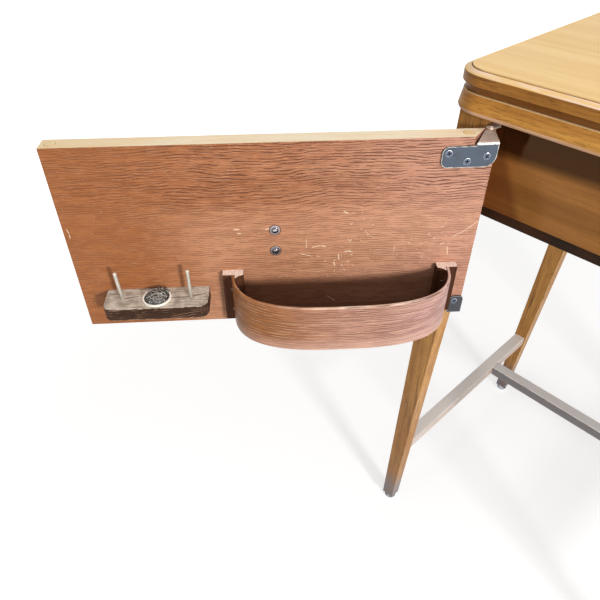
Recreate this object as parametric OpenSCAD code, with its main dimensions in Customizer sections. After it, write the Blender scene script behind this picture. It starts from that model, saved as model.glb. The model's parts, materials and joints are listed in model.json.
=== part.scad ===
// Sewing machine cabinet with a fold-over top, splayed legs and a swing-out front door.
// Sizes are in millimetres. X runs left to right, Y front to back and Z up.
// The origin is on the floor under the middle of the cabinet.

/* [Overall] */
// Height of the closed table top above the floor
height = 775; // [740:1:820]
// Width of the table top, left to right
top_w = 520; // [500:1:640]
// Depth of the table top, front to back
top_d = 437; // [425:1:520]
// Radius of the table top's corners, seen from above
top_corner_r = 33; // [24:1:45]

/* [Table top] */
// Thickness of the upper leaf, which folds over to the left
upper_leaf_t = 21.5; // [18:0.5:26]
// Thickness of the lower leaf, which is fixed to the frame
lower_leaf_t = 19.5; // [16:0.5:26]
// Gap between the two leaves when the top is closed
leaf_gap = 0.4; // [0.3:0.1:1]
// Width of the sloping rim round the upper leaf
rim_w = 7; // [6:0.5:12]
// Height of the small step between the veneered field and the rim
rim_step = 0.8; // [0.4:0.1:1.5]
// How much lower the rim's outer arris is than the field
rim_drop = 4.1; // [2.5:0.1:6]
// Height of the upright face below the rim
rim_face_h = 10; // [6:0.5:12]
// How far the cove under the upper leaf cuts in
cove_inset = 4.5; // [2:0.5:6]
// Width of the lower leaf's solid wood lipping
lipping_w = 14; // [10:0.5:18]
// How far the lower leaf's top arris stands back from its nose
lower_arris_inset = 2.4; // [1:0.1:4]
// How far the lower leaf's nose stands out past the upper leaf
nose_out = 0.5; // [0:0.1:1]
// Radius of the nose along the lower leaf's bottom edge
nose_r = 4; // [2:0.5:6]
// Thickness of a glue line between two pieces of wood
glue_line = 0.1; // [0.05:0.05:0.2]

/* [Machine opening] */
// Width of the opening for the machine's bed
opening_w = 374; // [340:1:390]
// Depth of the opening for the machine's bed
opening_d = 181; // [160:1:200]
// Corner radius of the opening
opening_r = 8; // [4:1:14]
// Distance from the cabinet's middle back to the opening's back edge
opening_back = 105; // [90:1:120]
// Distance between the two machine hinges
head_hinge_span = 254; // [220:1:270]
// Diameter of the hinge arm's round end, which enters the machine's bed
head_pin_d = 9.5; // [7:0.5:10]
// Reach of a hinge arm from its pivot to its tip
head_arm_len = 44; // [36:1:60]
// Thickness of a machine hinge's plate
head_plate_t = 2.5; // [2:0.1:3]

/* [Legs and frame] */
// How far the legs stand in from the sides of the top
leg_inset_x = 12; // [6:0.5:20]
// How far the legs stand in from the front and back of the top
leg_inset_y = 10; // [6:0.5:20]
// Width of a leg where it meets the top
leg_w = 32; // [28:0.5:40]
// Depth of a leg where it meets the top
leg_d = 25.5; // [24:0.5:36]
// Width of a leg at its foot
foot_w = 20; // [16:0.5:26]
// Depth of a leg at its foot
foot_d = 18.5; // [16:0.5:24]
// How far a foot stands further out to the side than the leg's top
leg_splay = 21; // [0:1:26]
// How far a foot's inner face stands nearer to the middle, front to back
leg_toe = 2; // [0:0.5:6]
// Height of a leg's end above the floor
foot_z = 13; // [12:0.5:20]
// Thickness of the aprons
apron_t = 16; // [12:0.5:19]
// Height of the aprons, with the rail under the front one
apron_h = 114.6; // [90:0.1:120]
// Height of the dark rail under the front apron
rail_h = 11; // [8:0.5:16]
// How far the front apron stands back from the legs' fronts
front_setback = 20.8; // [20.5:0.1:22]
// How far the side and back aprons stand in from the legs' faces
apron_setback = 4.5; // [2:0.5:6]
// Height of the stretchers' top faces above the floor
stretcher_z = 168; // [120:1:220]
// Width of a stretcher
stretcher_w = 19.5; // [14:0.5:21]
// Height of a stretcher's section
stretcher_h = 18; // [14:0.5:22]
// Distance from the cabinet's middle back to the centre stretcher's middle
centre_stretcher_y = 75; // [0:1:120]
// Diameter of the round foot glides
glide_d = 19; // [14:1:20]
// Diameter of a glide's nail, which is driven up into the leg
glide_nail_d = 4; // [3:0.5:5]

/* [Door] */
// Width of the door
door_w = 427.5; // [420:0.5:427.5]
// Height of the door
door_h = 215; // [200:1:230]
// Thickness of the door
door_t = 19.4; // [17:0.1:19.4]
// Gap between the closed door's top edge and the underside of the top
door_top_gap = 9.9; // [8:0.1:16]
// Gap between the closed door and the leg on the hinge side
door_gap = 2.5; // [2.2:0.1:3]
// How far the closed door stands proud of the legs' fronts
door_proud = 1.4; // [0:0.1:1.6]
// How far the door stands open in the photographed pose, in degrees
door_open = 129.7; // [90:0.1:150]

/* [Door hinges] */
// Thickness of the hinge plates
plate_t = 1.9; // [1.5:0.1:2]
// Distance from the door's hinge edge in to the hinge pins' axis
axis_in = 2; // [1.8:0.1:2.4]
// Distance from the door's outer face in to the hinge pins' axis
axis_deep = 1.5; // [1:0.1:2]
// Diameter of the hinge pins
hinge_pin_d = 3.4; // [2.8:0.1:3.6]
// Radius of the rounded lobe round each hinge pin
lobe_r = 3.5; // [3.2:0.1:3.8]
// Depth of the top flange's pin end below the door's top edge
flange_depth = 0.6; // [0.4:0.1:1.5]
// Slope of the top flange down to its fold, in degrees
flange_slope = 17; // [8:0.5:20]
// Outer radius of the fold in the top hinge plate
bend_r = 2.6; // [2.2:0.1:3.5]
// Length of the top hinge plate along the door
hinge_plate_l = 53.6; // [46:0.1:70]
// Height of the top hinge plate below the door's top edge
hinge_plate_low = 30.5; // [26:0.5:40]
// Length of the bottom hinge plate along the door
low_plate_l = 16; // [14:0.5:17]
// Height of the bottom hinge plate
low_plate_h = 24; // [18:0.5:30]

/* [Spool block] */
// Length of the spool block
spool_block_l = 110.8; // [90:0.1:120]
// Depth of the spool block, out from the door
spool_block_d = 35; // [30:0.5:45]
// Thickness of the spool block
spool_block_h = 15.7; // [12:0.1:20]
// Distance from the door's free edge to the spool block's middle
spool_block_s = 84; // [70:1:90]
// Depth of the spool block's top below the door's top edge
spool_block_low = 165.3; // [140:0.1:180]
// Distance between the two spool pins
spool_pin_span = 73; // [56:1:84]
// Diameter of the spool pins
spool_pin_d = 3.8; // [3:0.1:5]
// Height of the spool pins above the block
spool_pin_h = 35; // [25:1:45]
// Outer diameter of the pin cup
cup_d = 31; // [26:0.5:33]
// Wall of the pin cup
cup_wall = 2.2; // [1.5:0.1:3]

/* [Tray] */
// Width of the bentwood tray
tray_w = 237.3; // [200:0.1:240]
// Depth of the tray, out from the door
tray_d = 71; // [50:0.5:80]
// Height of the tray's band
tray_h = 58; // [40:0.5:64]
// Thickness of the tray's band
tray_t = 3.5; // [2.5:0.1:5]
// Roundness of the tray's plan, from 2 for an ellipse up to a boxier curve
tray_power = 2.8; // [2.2:0.1:3.4]
// Distance from the door's free edge to the tray's middle
tray_s = 283.7; // [281:0.1:286]
// Depth of the tray's rim below the door's top edge
tray_low = 145; // [130:0.5:152]
// Width of a tray end block along the door
end_block_w = 22.2; // [18:0.1:24]
// How far an end block stands out past the band
end_block_lip = 9.3; // [6:0.1:11]

/* [Door fittings] */
// Depth of the upper pull bolt below the door's top edge
bolt_low = 95.7; // [80:0.1:110]
// Distance between the two pull bolts
bolt_span = 25.7; // [20:0.1:40]
// Diameter of the pull bolts
bolt_d = 4; // [3:0.5:5]
// Height of the door pull
pull_h = 72; // [50:1:90]
// Width of the door pull
pull_w = 20; // [16:0.5:26]
// Depth of the door pull
pull_d = 20; // [14:0.5:26]

/* [Hidden] */
$fn = 64;

// Overshoot of a cutting shape past the face it cuts
cut = 1;
// Small clearance round a screw, bolt or pin that is fixed in its hole
fit = 0.05;
// Running clearance between a hinge pin and what turns on it
run_fit = 0.05;

// Levels of the table top
upper_z = height - upper_leaf_t;
fold_z = upper_z - leaf_gap / 2;
lower_top_z = upper_z - leaf_gap;
lower_z = lower_top_z - lower_leaf_t;

// Legs: outer and inner faces at the top, on the left and at the front
leg_out_x = top_w / 2 - leg_inset_x;
leg_in_x = leg_out_x - leg_w;
leg_out_y = top_d / 2 - leg_inset_y;
leg_in_y = leg_out_y - leg_d;
apron_z = lower_z - apron_h;
foot_out_x = leg_out_x + leg_splay;
foot_in_x = foot_out_x - foot_w;
foot_in_y = leg_in_y - leg_toe;
foot_out_y = foot_in_y + foot_d;
function leg_inner_x(z) = leg_in_x + (foot_in_x - leg_in_x) * (apron_z - z) / (apron_z - foot_z);
function leg_inner_y(z) = leg_in_y + (foot_in_y - leg_in_y) * (apron_z - z) / (apron_z - foot_z);
function leg_outer_x(z) = leg_out_x + leg_splay * (lower_z - z) / (lower_z - foot_z);

// Aprons
side_apron_out = leg_out_x - apron_setback;
side_apron_in = side_apron_out - apron_t;
front_apron_y = -leg_out_y + front_setback;
back_apron_y = leg_out_y - apron_setback - apron_t;
corner_block_leg = 24;
corner_block_drop = 20;
corner_block_more = 6;

// Stretchers
stretcher_mid_z = stretcher_z - stretcher_h / 2;
stretcher_x = (leg_inner_x(stretcher_mid_z) + leg_outer_x(stretcher_mid_z)) / 2;

// Glides: a domed cap on a cushion washer
glide_cap_h = 7;
glide_dome_h = 5;
glide_flat_d = 9;
glide_neck_d = 14;
glide_nail_l = 18;

// Leaf hinges, let in between the leaves at the left edge
leaf_axis_out = 0.8;
leaf_axis_x = -top_w / 2 - leaf_axis_out;
leaf_hinge_y = 130;
leaf_hinge_l = 50;
leaf_hinge_reach = 26;
leaf_plate_t = 1.5;
leaf_plate_gap = 0.1;
leaf_barrel_r = 2.5;
leaf_pin_d = 2.6;
knuckle_gap = 0.2;
barrel_gap = 0.3;
leaf_screw_x = [-12, 12];
leaf_screw_in = 15;
leaf_screw_d = 2.6;
leaf_screw_head_d = 5;
leaf_screw_head_h = 0.9;
leaf_screw_l = 8;

// Machine hinges at the back edge of the opening
head_barrel_r = 5;
head_knuckle_w = 9;
head_mid_w = 18;
head_plate_w = 2 * head_knuckle_w + head_mid_w + 2 * knuckle_gap;
head_plate_d = 34;
head_axis_y = opening_back - head_barrel_r - 1;
head_pivot_d = 5;
head_neck_t = 5;
head_tip_l = 26;
head_screw_d = 3.5;
head_screw_head_d = 7;
head_screw_sunk = 0.2;
head_screw_near = 12;
head_screw_far = 26;
head_screw_edge = 8;
head_plate_sunk = 0.1;
head_link_sunk = 0.4;
head_axis_z = lower_top_z - head_barrel_r - head_link_sunk;
head_screw_l = 12;
bed_rest_gap = 6.5;
bed_rest_d = 34;
bed_rest_t = 18;
bed_rest_ledge = 12;

// Door: place of its outer hinge corner when closed, and the hinge axis
door_x0 = -leg_in_x + door_gap;
door_y0 = -leg_out_y - door_proud;
door_z1 = lower_z - door_top_gap;
door_z0 = door_z1 - door_h;
door_axis = [door_x0 + axis_in, door_y0 + axis_deep];

// Door hinge plates
flange_gap = 0.2;
flange_flat_y = axis_deep + lobe_r + 1;
fold_y = door_t + plate_t;
fold_mid_y = fold_y - bend_r;
// Depth below the door's top edge of the middle of the fold's radius
fold_mid_low = flange_depth
    + (bend_r + (fold_mid_y - flange_flat_y) * sin(flange_slope)) / cos(flange_slope);
notch_edge_in = 21.7;
notch_edge_out = 6.5;
hinge_fold_l = 22;
fold_steps = 6;
hinge_step = 1.5;
plate_past_edge = 1.9;
lobe_tuck = 0.1;
plate_end_l = 16;
plate_end_r = 7;
plate_round_r = 11;
low_plate_r = 5;
low_flange_drop = 0.3;
hinge_screw_d = 3.6;
hinge_screw_head_d = 7;
hinge_screw_head_h = 1.7;
hinge_screw_l = 14;
// Screw places on the top plate: distance in from the hinge edge and depth below the top edge
top_screws = [[45, 15.7], [25.9, 24.4], [7.5, 19.6]];
// Screw place on the bottom plate: distance in from the hinge edge and height above the bottom edge
low_screw = [8, 14.7];
hanger_gap = 0.4;
hanger_angle = 78;
hanger_reach = 9.5;
hanger_lug_r = 4.2;
hanger_pad = [32, 15];
hanger_pad_past = 0.5;
hanger_apron_gap = 1;
// Places of the two screws along the pad, as shares of its length
hanger_screw_shares = [0.35, 0.8];
pin_head_d = 5.4;
pin_head_h = 0.9;
washer_play = 0.05;
washer_edge_in = 0.3;
low_hanger_h = 24;
low_hanger_w = 18;
low_hanger_in = 3;
low_hanger_edge = 4.7;
low_hanger_screw_low = 2;

// Plugs in the door's top edge
plug_d = 10;
plug_l = 9;
plug_proud = 0.2;
plug_free_in = 9.4;
plug_hinge_in = 25.5;

// Pull bolts, washers and heads
bolt_head_d = 7.5;
bolt_top_d = 5.2;
bolt_head_h = 1.3;
bolt_washer_d = 11;
bolt_washer_t = 0.7;
bolt_into_pull = 11;
pull_waist = 6;
pull_groove = 4;
pull_groove_y = 8.4;

// Door catch: a ball catch in the free edge, and its strike on the right leg
catch_low = 98;
catch_d = 8;
catch_l = 16;
catch_ball_d = 5;
catch_ball_out = 0.6;
strike_t = 0.6;
strike_w = 13;
strike_in = 2;
strike_h = 34;

// Spool block, cup and wool
block_corner_r = 10;
cup_depth = 9;
cup_floor = 1.5;
cup_proud = 1.6;
wool_rise = 5;
wool_low = 1.5;
spool_pin_in = 9;
spool_shank_d = spool_pin_d - 0.4;

// Tray
tray_steps = 40;
block_back = 9;
block_reach = 23;
block_cove_r = 14;
block_cove_out = 3;
block_more = 4;
tray_floor_t = 4;
tray_floor_up = 2;
nail_d = 1.8;
nail_head_d = 3.6;
nail_head_h = 0.7;
nail_head_out = 0.2;
nail_l = 8;
nail_out = 14;
nail_low = 15;
nail_high = 43;

// Rounded rectangle, flat, centred on the origin
module rounded_plate(w, d, r) {
    square([w - 2 * r, d], center = true);
    square([w, d - 2 * r], center = true);
    for (x = [-1, 1], y = [-1, 1])
        translate([x * (w / 2 - r), y * (d / 2 - r)]) circle(r);
}

// A profile of points [outward, z] run round a rounded rectangle of size w by d
module edge_ring(w, d, r, profile) {
    for (s = [-1, 1]) {
        translate([-(w / 2 - r), 0, 0]) rotate([90, 0, 90]) linear_extrude(w - 2 * r)
            polygon([for (p = profile) [s * (d / 2 + p[0]), p[1]]]);
        translate([0, d / 2 - r, 0]) rotate([90, 0, 0]) linear_extrude(d - 2 * r)
            polygon([for (p = profile) [s * (w / 2 + p[0]), p[1]]]);
    }
    for (q = [0 : 3])
        translate([(q == 0 || q == 3 ? 1 : -1) * (w / 2 - r), (q < 2 ? 1 : -1) * (d / 2 - r), 0])
            rotate(q * 90) rotate_extrude(angle = 90)
                polygon([for (p = profile) [r + p[0], p[1]]]);
}

// Upper leaf: a veneered field inside a moulded rim
module upper_leaf_panel() {
    color([0.93, 0.79, 0.56])
    difference() {
        translate([0, 0, upper_z]) linear_extrude(upper_leaf_t)
            rounded_plate(top_w - 2 * (rim_w + glue_line), top_d - 2 * (rim_w + glue_line),
                top_corner_r - rim_w - glue_line);
        leaf_plate_pockets(1);
    }
}

module upper_leaf_rim() {
    cove_h = upper_leaf_t - rim_drop - rim_face_h;
    profile = concat(
        [[-rim_w, upper_z]],
        [for (a = [0 : 15 : 90]) [-cove_inset * cos(a), upper_z + cove_h * sin(a)]],
        [[0, height - rim_drop], [-rim_w, height - rim_step]]);
    color([0.66, 0.47, 0.25])
    difference() {
        edge_ring(top_w, top_d, top_corner_r, profile);
        leaf_plate_pockets(1);
    }
}

// Lower leaf: a panel with the machine opening, inside a solid wood lipping
module lower_leaf_panel() {
    color([0.72, 0.5, 0.26])
    difference() {
        translate([0, 0, lower_z]) linear_extrude(lower_leaf_t) difference() {
            rounded_plate(top_w - 2 * (lipping_w + glue_line), top_d - 2 * (lipping_w + glue_line),
                top_corner_r - lipping_w - glue_line);
            translate([0, opening_back - opening_d / 2]) rounded_plate(opening_w, opening_d, opening_r);
        }
        leaf_plate_pockets(-1);
        for (x = [-1, 1]) translate([x * head_hinge_span / 2, opening_back, lower_top_z]) {
            translate([-head_plate_w / 2 - fit, -cut, -head_plate_t])
                cube([head_plate_w + 2 * fit, head_plate_d + fit + cut, head_plate_t + cut]);
            for (p = head_screw_places())
                translate([p[0], p[1], -head_screw_l])
                    cylinder(d = head_screw_d + 2 * fit, h = head_screw_l);
        }
    }
}

module lower_leaf_lipping() {
    profile = concat(
        [[-lipping_w, lower_top_z], [-lipping_w, lower_z]],
        [for (a = [-90 : 15 : 0])
            [nose_out + nose_r * (cos(a) - 1), lower_z + nose_r * (1 + sin(a))]],
        [[-lower_arris_inset, lower_top_z]]);
    color([0.69, 0.47, 0.22])
    difference() {
        edge_ring(top_w, top_d, top_corner_r, profile);
        leaf_plate_pockets(-1);
    }
}

// Pockets for the leaf hinges: side 1 is cut in the upper leaf, side -1 in the lower leaf
module leaf_plate_pockets(side) {
    for (y = [-leaf_hinge_y, leaf_hinge_y]) translate([leaf_axis_x, y, fold_z]) {
        translate([-cut, -leaf_hinge_l / 2 - fit, side > 0 ? -cut : -leaf_plate_gap - leaf_plate_t - fit])
            cube([leaf_hinge_reach + cut + fit, leaf_hinge_l + 2 * fit,
                leaf_plate_gap + leaf_plate_t + fit + cut]);
        barrel = leaf_barrel_r + barrel_gap;
        translate([-cut, -leaf_hinge_l / 2 - barrel_gap, side > 0 ? -cut : -barrel])
            cube([barrel + cut, leaf_hinge_l + 2 * barrel_gap, barrel + cut]);
        for (s = leaf_screw_x) translate([leaf_screw_in, s, side > 0 ? 0 : -leaf_screw_l])
            cylinder(d = leaf_screw_d + 2 * fit, h = leaf_screw_l);
    }
}

// One half of a leaf hinge: the lower half has two knuckles and the upper half has the middle one
module leaf_hinge_half(side) {
    end_l = leaf_hinge_l / 4;
    spans = side > 0
        ? [[-end_l + knuckle_gap / 2, end_l - knuckle_gap / 2]]
        : [[-2 * end_l, -end_l - knuckle_gap / 2], [end_l + knuckle_gap / 2, 2 * end_l]];
    plate_z = side > 0 ? leaf_plate_gap : -leaf_plate_gap - leaf_plate_t;
    difference() {
        union() {
            translate([leaf_barrel_r + knuckle_gap, -leaf_hinge_l / 2, plate_z])
                cube([leaf_hinge_reach - leaf_barrel_r - knuckle_gap, leaf_hinge_l, leaf_plate_t]);
            for (s = spans) {
                translate([0, s[0], 0]) rotate([-90, 0, 0])
                    cylinder(r = leaf_barrel_r, h = s[1] - s[0]);
                translate([0, s[0], plate_z])
                    cube([leaf_barrel_r + knuckle_gap + cut, s[1] - s[0], leaf_plate_t]);
            }
        }
        translate([0, -leaf_hinge_l / 2 - cut, 0]) rotate([-90, 0, 0])
            cylinder(r = leaf_pin_d / 2 + run_fit, h = leaf_hinge_l + 2 * cut);
        for (s = leaf_screw_x) translate([leaf_screw_in, s, 0]) {
            translate([0, 0, plate_z - cut])
                cylinder(d = leaf_screw_d + 2 * fit, h = leaf_plate_t + 2 * cut);
            translate([0, 0, side > 0 ? leaf_plate_gap - cut : -leaf_plate_gap - leaf_screw_head_h])
                cylinder(d = leaf_screw_head_d + 2 * fit, h = leaf_screw_head_h + cut);
        }
    }
}

module leaf_hinges(side) {
    for (y = [-leaf_hinge_y, leaf_hinge_y])
        translate([leaf_axis_x, y, fold_z]) leaf_hinge_half(side);
}

module leaf_hinges_lower() { color([0.78, 0.62, 0.32]) leaf_hinges(-1); }
module leaf_hinges_upper() { color([0.8, 0.64, 0.34]) leaf_hinges(1); }

module leaf_hinge_pins() {
    color([0.7, 0.55, 0.28])
    for (y = [-leaf_hinge_y, leaf_hinge_y])
        translate([leaf_axis_x, y - leaf_hinge_l / 2, fold_z]) rotate([-90, 0, 0])
            cylinder(d = leaf_pin_d, h = leaf_hinge_l);
}

module leaf_screws(side) {
    for (y = [-leaf_hinge_y, leaf_hinge_y], s = leaf_screw_x)
        translate([leaf_axis_x + leaf_screw_in, y + s, fold_z]) mirror([0, 0, side > 0 ? 1 : 0]) {
            translate([0, 0, -leaf_plate_gap - leaf_screw_head_h])
                cylinder(d = leaf_screw_head_d, h = leaf_screw_head_h);
            translate([0, 0, -leaf_screw_l + fit])
                cylinder(d = leaf_screw_d, h = leaf_screw_l - leaf_plate_gap - leaf_screw_head_h);
        }
}

module leaf_hinge_screws_lower() { color([0.75, 0.6, 0.32]) leaf_screws(-1); }
module leaf_hinge_screws_upper() { color([0.75, 0.6, 0.32]) leaf_screws(1); }

// A leg at the front left: tapered below the aprons and splayed out to the side
module leg_form() {
    intersection() {
        rotate([90, 0, 0]) linear_extrude(leg_out_y + cut)
            polygon([[-leg_out_x, lower_z], [-leg_in_x, lower_z], [-leg_in_x, apron_z],
                [-foot_in_x, foot_z], [-foot_out_x, foot_z]]);
        translate([-foot_out_x - cut, 0, 0]) rotate([90, 0, 90])
            linear_extrude(foot_out_x + cut)
                polygon([[-leg_out_y, lower_z], [-leg_in_y, lower_z], [-leg_in_y, apron_z],
                    [-foot_in_y, foot_z], [-foot_out_y, foot_z]]);
    }
}

function glide_place() = [-(foot_out_x + foot_in_x) / 2, -(foot_out_y + foot_in_y) / 2];

module leg(x, y) {
    mirror([x, 0, 0]) mirror([0, y, 0]) difference() {
        leg_form();
        translate([glide_place()[0], glide_place()[1], 0])
            cylinder(d = glide_nail_d + 2 * fit, h = foot_z + glide_nail_l + fit);
    }
}

module leg_front_left() {
    color([0.62, 0.43, 0.24]) difference() {
        leg(0, 0);
        low_hanger_screw_holes();
    }
}
module leg_front_right() { color([0.62, 0.43, 0.24]) leg(1, 0); }
module leg_back_left() { color([0.6, 0.42, 0.23]) leg(0, 1); }
module leg_back_right() { color([0.6, 0.42, 0.23]) leg(1, 1); }

module foot_glides() {
    color([0.8, 0.81, 0.83])
    for (x = [0, 1], y = [0, 1]) mirror([x, 0, 0]) mirror([0, y, 0])
        translate([glide_place()[0], glide_place()[1], 0]) {
            rotate_extrude() polygon(concat(
                [[0, 0], [glide_flat_d / 2, 0]],
                [for (a = [15 : 15 : 90]) [
                    glide_flat_d / 2 + (glide_d - glide_flat_d) / 2 * sin(a),
                    glide_dome_h * (1 - cos(a))]],
                [[glide_d / 2, glide_cap_h], [glide_neck_d / 2, glide_cap_h], [glide_neck_d / 2, foot_z],
                    [0, foot_z]]));
            translate([0, 0, foot_z - cut]) cylinder(d = glide_nail_d, h = glide_nail_l + cut);
        }
}

module side_apron(x) {
    mirror([x, 0, 0]) translate([-side_apron_out, -leg_in_y, apron_z])
        cube([apron_t, 2 * leg_in_y, apron_h]);
}

module side_apron_left() { color([0.6, 0.41, 0.22]) side_apron(0); }
module side_apron_right() { color([0.6, 0.41, 0.22]) side_apron(1); }

module back_apron() {
    color([0.58, 0.4, 0.22]) translate([-leg_in_x, back_apron_y, apron_z])
        cube([2 * leg_in_x, apron_t, apron_h]);
}

module front_apron() {
    color([0.52, 0.34, 0.19]) translate([-leg_in_x, front_apron_y, apron_z + rail_h])
        cube([2 * leg_in_x, apron_t, apron_h - rail_h]);
}

module front_rail() {
    color([0.13, 0.11, 0.1]) translate([-leg_in_x, front_apron_y, apron_z])
        cube([2 * leg_in_x, apron_t, rail_h]);
}

// Glue blocks in the four inside corners of the frame
module corner_blocks() {
    fy = -front_apron_y - apron_t;
    color([0.7, 0.56, 0.38]) for (x = [0, 1]) mirror([x, 0, 0]) {
        translate([0, 0, apron_z + corner_block_drop]) linear_extrude(apron_h - corner_block_drop) {
            polygon([[-side_apron_in, -fy], [-side_apron_in + corner_block_leg, -fy],
                [-side_apron_in, -fy + corner_block_leg]]);
            polygon([[-side_apron_in, leg_in_y], [-leg_in_x, leg_in_y], [-leg_in_x, back_apron_y],
                [-side_apron_in + corner_block_leg + corner_block_more, back_apron_y],
                [-side_apron_in, leg_in_y - corner_block_leg]]);
        }
    }
}

module side_stretcher(x) {
    half = leg_inner_y(stretcher_z - stretcher_h) - glue_line / 2;
    mirror([x, 0, 0]) translate([-stretcher_x - stretcher_w / 2, -half, stretcher_z - stretcher_h])
        cube([stretcher_w, 2 * half, stretcher_h]);
}

module side_stretcher_left() { color([0.72, 0.64, 0.58]) side_stretcher(0); }
module side_stretcher_right() { color([0.72, 0.64, 0.58]) side_stretcher(1); }

module centre_stretcher() {
    half = stretcher_x - stretcher_w / 2;
    color([0.74, 0.66, 0.6])
    translate([-half, centre_stretcher_y - stretcher_w / 2, stretcher_z - stretcher_h])
        cube([2 * half, stretcher_w, stretcher_h]);
}

// Blocks under the opening's front corners, on which the machine's bed rests
module bed_rest_blocks() {
    front = opening_back - opening_d;
    outer = side_apron_in - bed_rest_gap;
    color([0.7, 0.56, 0.38]) for (x = [0, 1]) mirror([x, 0, 0])
        translate([-outer, front - bed_rest_d + bed_rest_ledge, lower_z - bed_rest_t])
            cube([outer - opening_w / 2 + bed_rest_ledge, bed_rest_d, bed_rest_t]);
}

// Machine hinges: a plate let into the lower leaf, with two knuckles over the opening
function head_screw_places() =
    [for (x = [-1, 1], y = [head_screw_near, head_screw_far]) [x * (head_plate_w / 2 - head_screw_edge), y]];

module head_hinge_plates() {
    color([0.45, 0.46, 0.48]) for (x = [-1, 1])
        translate([x * head_hinge_span / 2, 0, 0]) difference() {
            union() {
                translate([-head_plate_w / 2, opening_back, lower_top_z - head_plate_t])
                    cube([head_plate_w, head_plate_d, head_plate_t - head_plate_sunk]);
                for (s = [0, 1]) mirror([s, 0, 0])
                    translate([head_mid_w / 2 + knuckle_gap, 0, 0]) {
                        translate([0, head_axis_y, head_axis_z]) rotate([0, 90, 0])
                            cylinder(r = head_barrel_r, h = head_knuckle_w);
                        translate([0, head_axis_y, lower_top_z - head_plate_t])
                            cube([head_knuckle_w, opening_back - head_axis_y + cut,
                                head_plate_t - head_link_sunk]);
                    }
            }
            translate([-head_plate_w, head_axis_y, head_axis_z]) rotate([0, 90, 0])
                cylinder(d = head_pivot_d + 2 * fit, h = 2 * head_plate_w);
            for (p = head_screw_places())
                translate([p[0], opening_back + p[1], lower_top_z - head_plate_t - cut]) {
                    cylinder(d = head_screw_d + 2 * fit, h = head_plate_t + 2 * cut);
                    translate([0, 0, cut + head_plate_t / 2])
                        cylinder(d = head_screw_head_d + 2 * fit, h = head_plate_t);
                }
        }
}

module head_hinge_pins() {
    color([0.7, 0.71, 0.73]) for (x = [-1, 1])
        translate([x * head_hinge_span / 2 - head_plate_w / 2, head_axis_y, head_axis_z])
            rotate([0, 90, 0]) cylinder(d = head_pivot_d, h = head_plate_w);
}

module head_hinge_screws() {
    color([0.6, 0.6, 0.62]) for (x = [-1, 1], p = head_screw_places())
        translate([x * head_hinge_span / 2 + p[0], opening_back + p[1], lower_top_z]) {
            translate([0, 0, -head_plate_t / 2])
                cylinder(d = head_screw_head_d, h = head_plate_t / 2 - head_screw_sunk);
            translate([0, 0, -head_screw_l + fit])
                cylinder(d = head_screw_d, h = head_screw_l - head_plate_t / 2);
        }
}

// A machine hinge arm, hanging down from its pivot at rest
module head_arm(x) {
    neck_l = head_arm_len - head_tip_l;
    color([0.5, 0.51, 0.53])
    translate([x * head_hinge_span / 2, head_axis_y, head_axis_z]) difference() {
        union() {
            translate([-head_mid_w / 2, 0, 0]) rotate([0, 90, 0])
                cylinder(r = head_barrel_r, h = head_mid_w);
            translate([-head_mid_w / 2, -head_neck_t / 2, -neck_l])
                cube([head_mid_w, head_neck_t, neck_l]);
            translate([0, 0, -head_arm_len]) cylinder(d = head_pin_d, h = head_tip_l);
        }
        translate([-head_mid_w, 0, 0]) rotate([0, 90, 0])
            cylinder(r = head_pivot_d / 2 + run_fit, h = 2 * head_mid_w);
    }
}

module head_arm_left() { head_arm(-1); }
module head_arm_right() { head_arm(1); }

// Hinge hanger above the door: a lug on the hinge axis, a rise and a pad under the top
module door_hanger_top() {
    lug_z = door_z1 + hanger_gap;
    color([0.62, 0.6, 0.56]) difference() {
        union() {
            translate([door_axis[0], door_axis[1], lug_z]) {
                cylinder(r = hanger_lug_r, h = plate_t);
                rotate(hanger_angle) {
                    translate([0, -hanger_lug_r, 0]) cube([hanger_reach, 2 * hanger_lug_r, plate_t]);
                    translate([hanger_reach - plate_t, -hanger_lug_r, 0])
                        cube([plate_t, 2 * hanger_lug_r, lower_z - lug_z]);
                }
            }
            translate([hanger_pad_place()[0], hanger_pad_place()[1], lower_z - plate_t])
                cube([hanger_pad[0], hanger_pad[1], plate_t]);
        }
        translate([door_axis[0], door_axis[1], lug_z - cut])
            cylinder(r = hinge_pin_d / 2 + fit, h = plate_t + 2 * cut);
        for (p = hanger_screw_places()) translate([p[0], p[1], lower_z - plate_t - cut])
            cylinder(d = hinge_screw_d + 2 * fit, h = plate_t + 2 * cut);
    }
}

function hanger_end() = [
    door_axis[0] + hanger_reach * cos(hanger_angle), door_axis[1] + hanger_reach * sin(hanger_angle)];
function hanger_pad_place() = [hanger_end()[0] - hanger_lug_r - hanger_pad_past,
    front_apron_y - hanger_apron_gap - hanger_pad[1]];
function hanger_screw_places() = [for (u = hanger_screw_shares)
    [hanger_pad_place()[0] + u * hanger_pad[0], hanger_pad_place()[1] + hanger_pad[1] / 2]];

// Hinge hanger below the door: a lug on the hinge axis and a leaf against the leg's sloping inner face
function low_lug_z() = door_z0 - low_flange_drop - plate_t - washer_play - plate_t;

function low_hanger_y() = -leg_out_y + low_hanger_in;

module low_hanger_leaf() {
    z1 = low_lug_z() + plate_t;
    z0 = z1 - low_hanger_h;
    translate([0, low_hanger_y() + low_hanger_w, 0]) rotate([90, 0, 0]) linear_extrude(low_hanger_w)
        polygon([[-leg_inner_x(z0) + fit, z0], [-leg_inner_x(z1) + fit, z1],
            [-leg_inner_x(z1) + plate_t, z1], [-leg_inner_x(z0) + plate_t, z0]]);
}

module low_hanger_screw_places() {
    z = low_lug_z() + plate_t - low_hanger_h / 2 - low_hanger_screw_low;
    tilt = atan(leg_inner_x(z) - leg_inner_x(z + 1));
    for (y = [low_hanger_edge, low_hanger_w - low_hanger_edge])
        translate([-leg_inner_x(z), low_hanger_y() + y, z]) rotate([0, tilt - 90, 0]) children();
}

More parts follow.
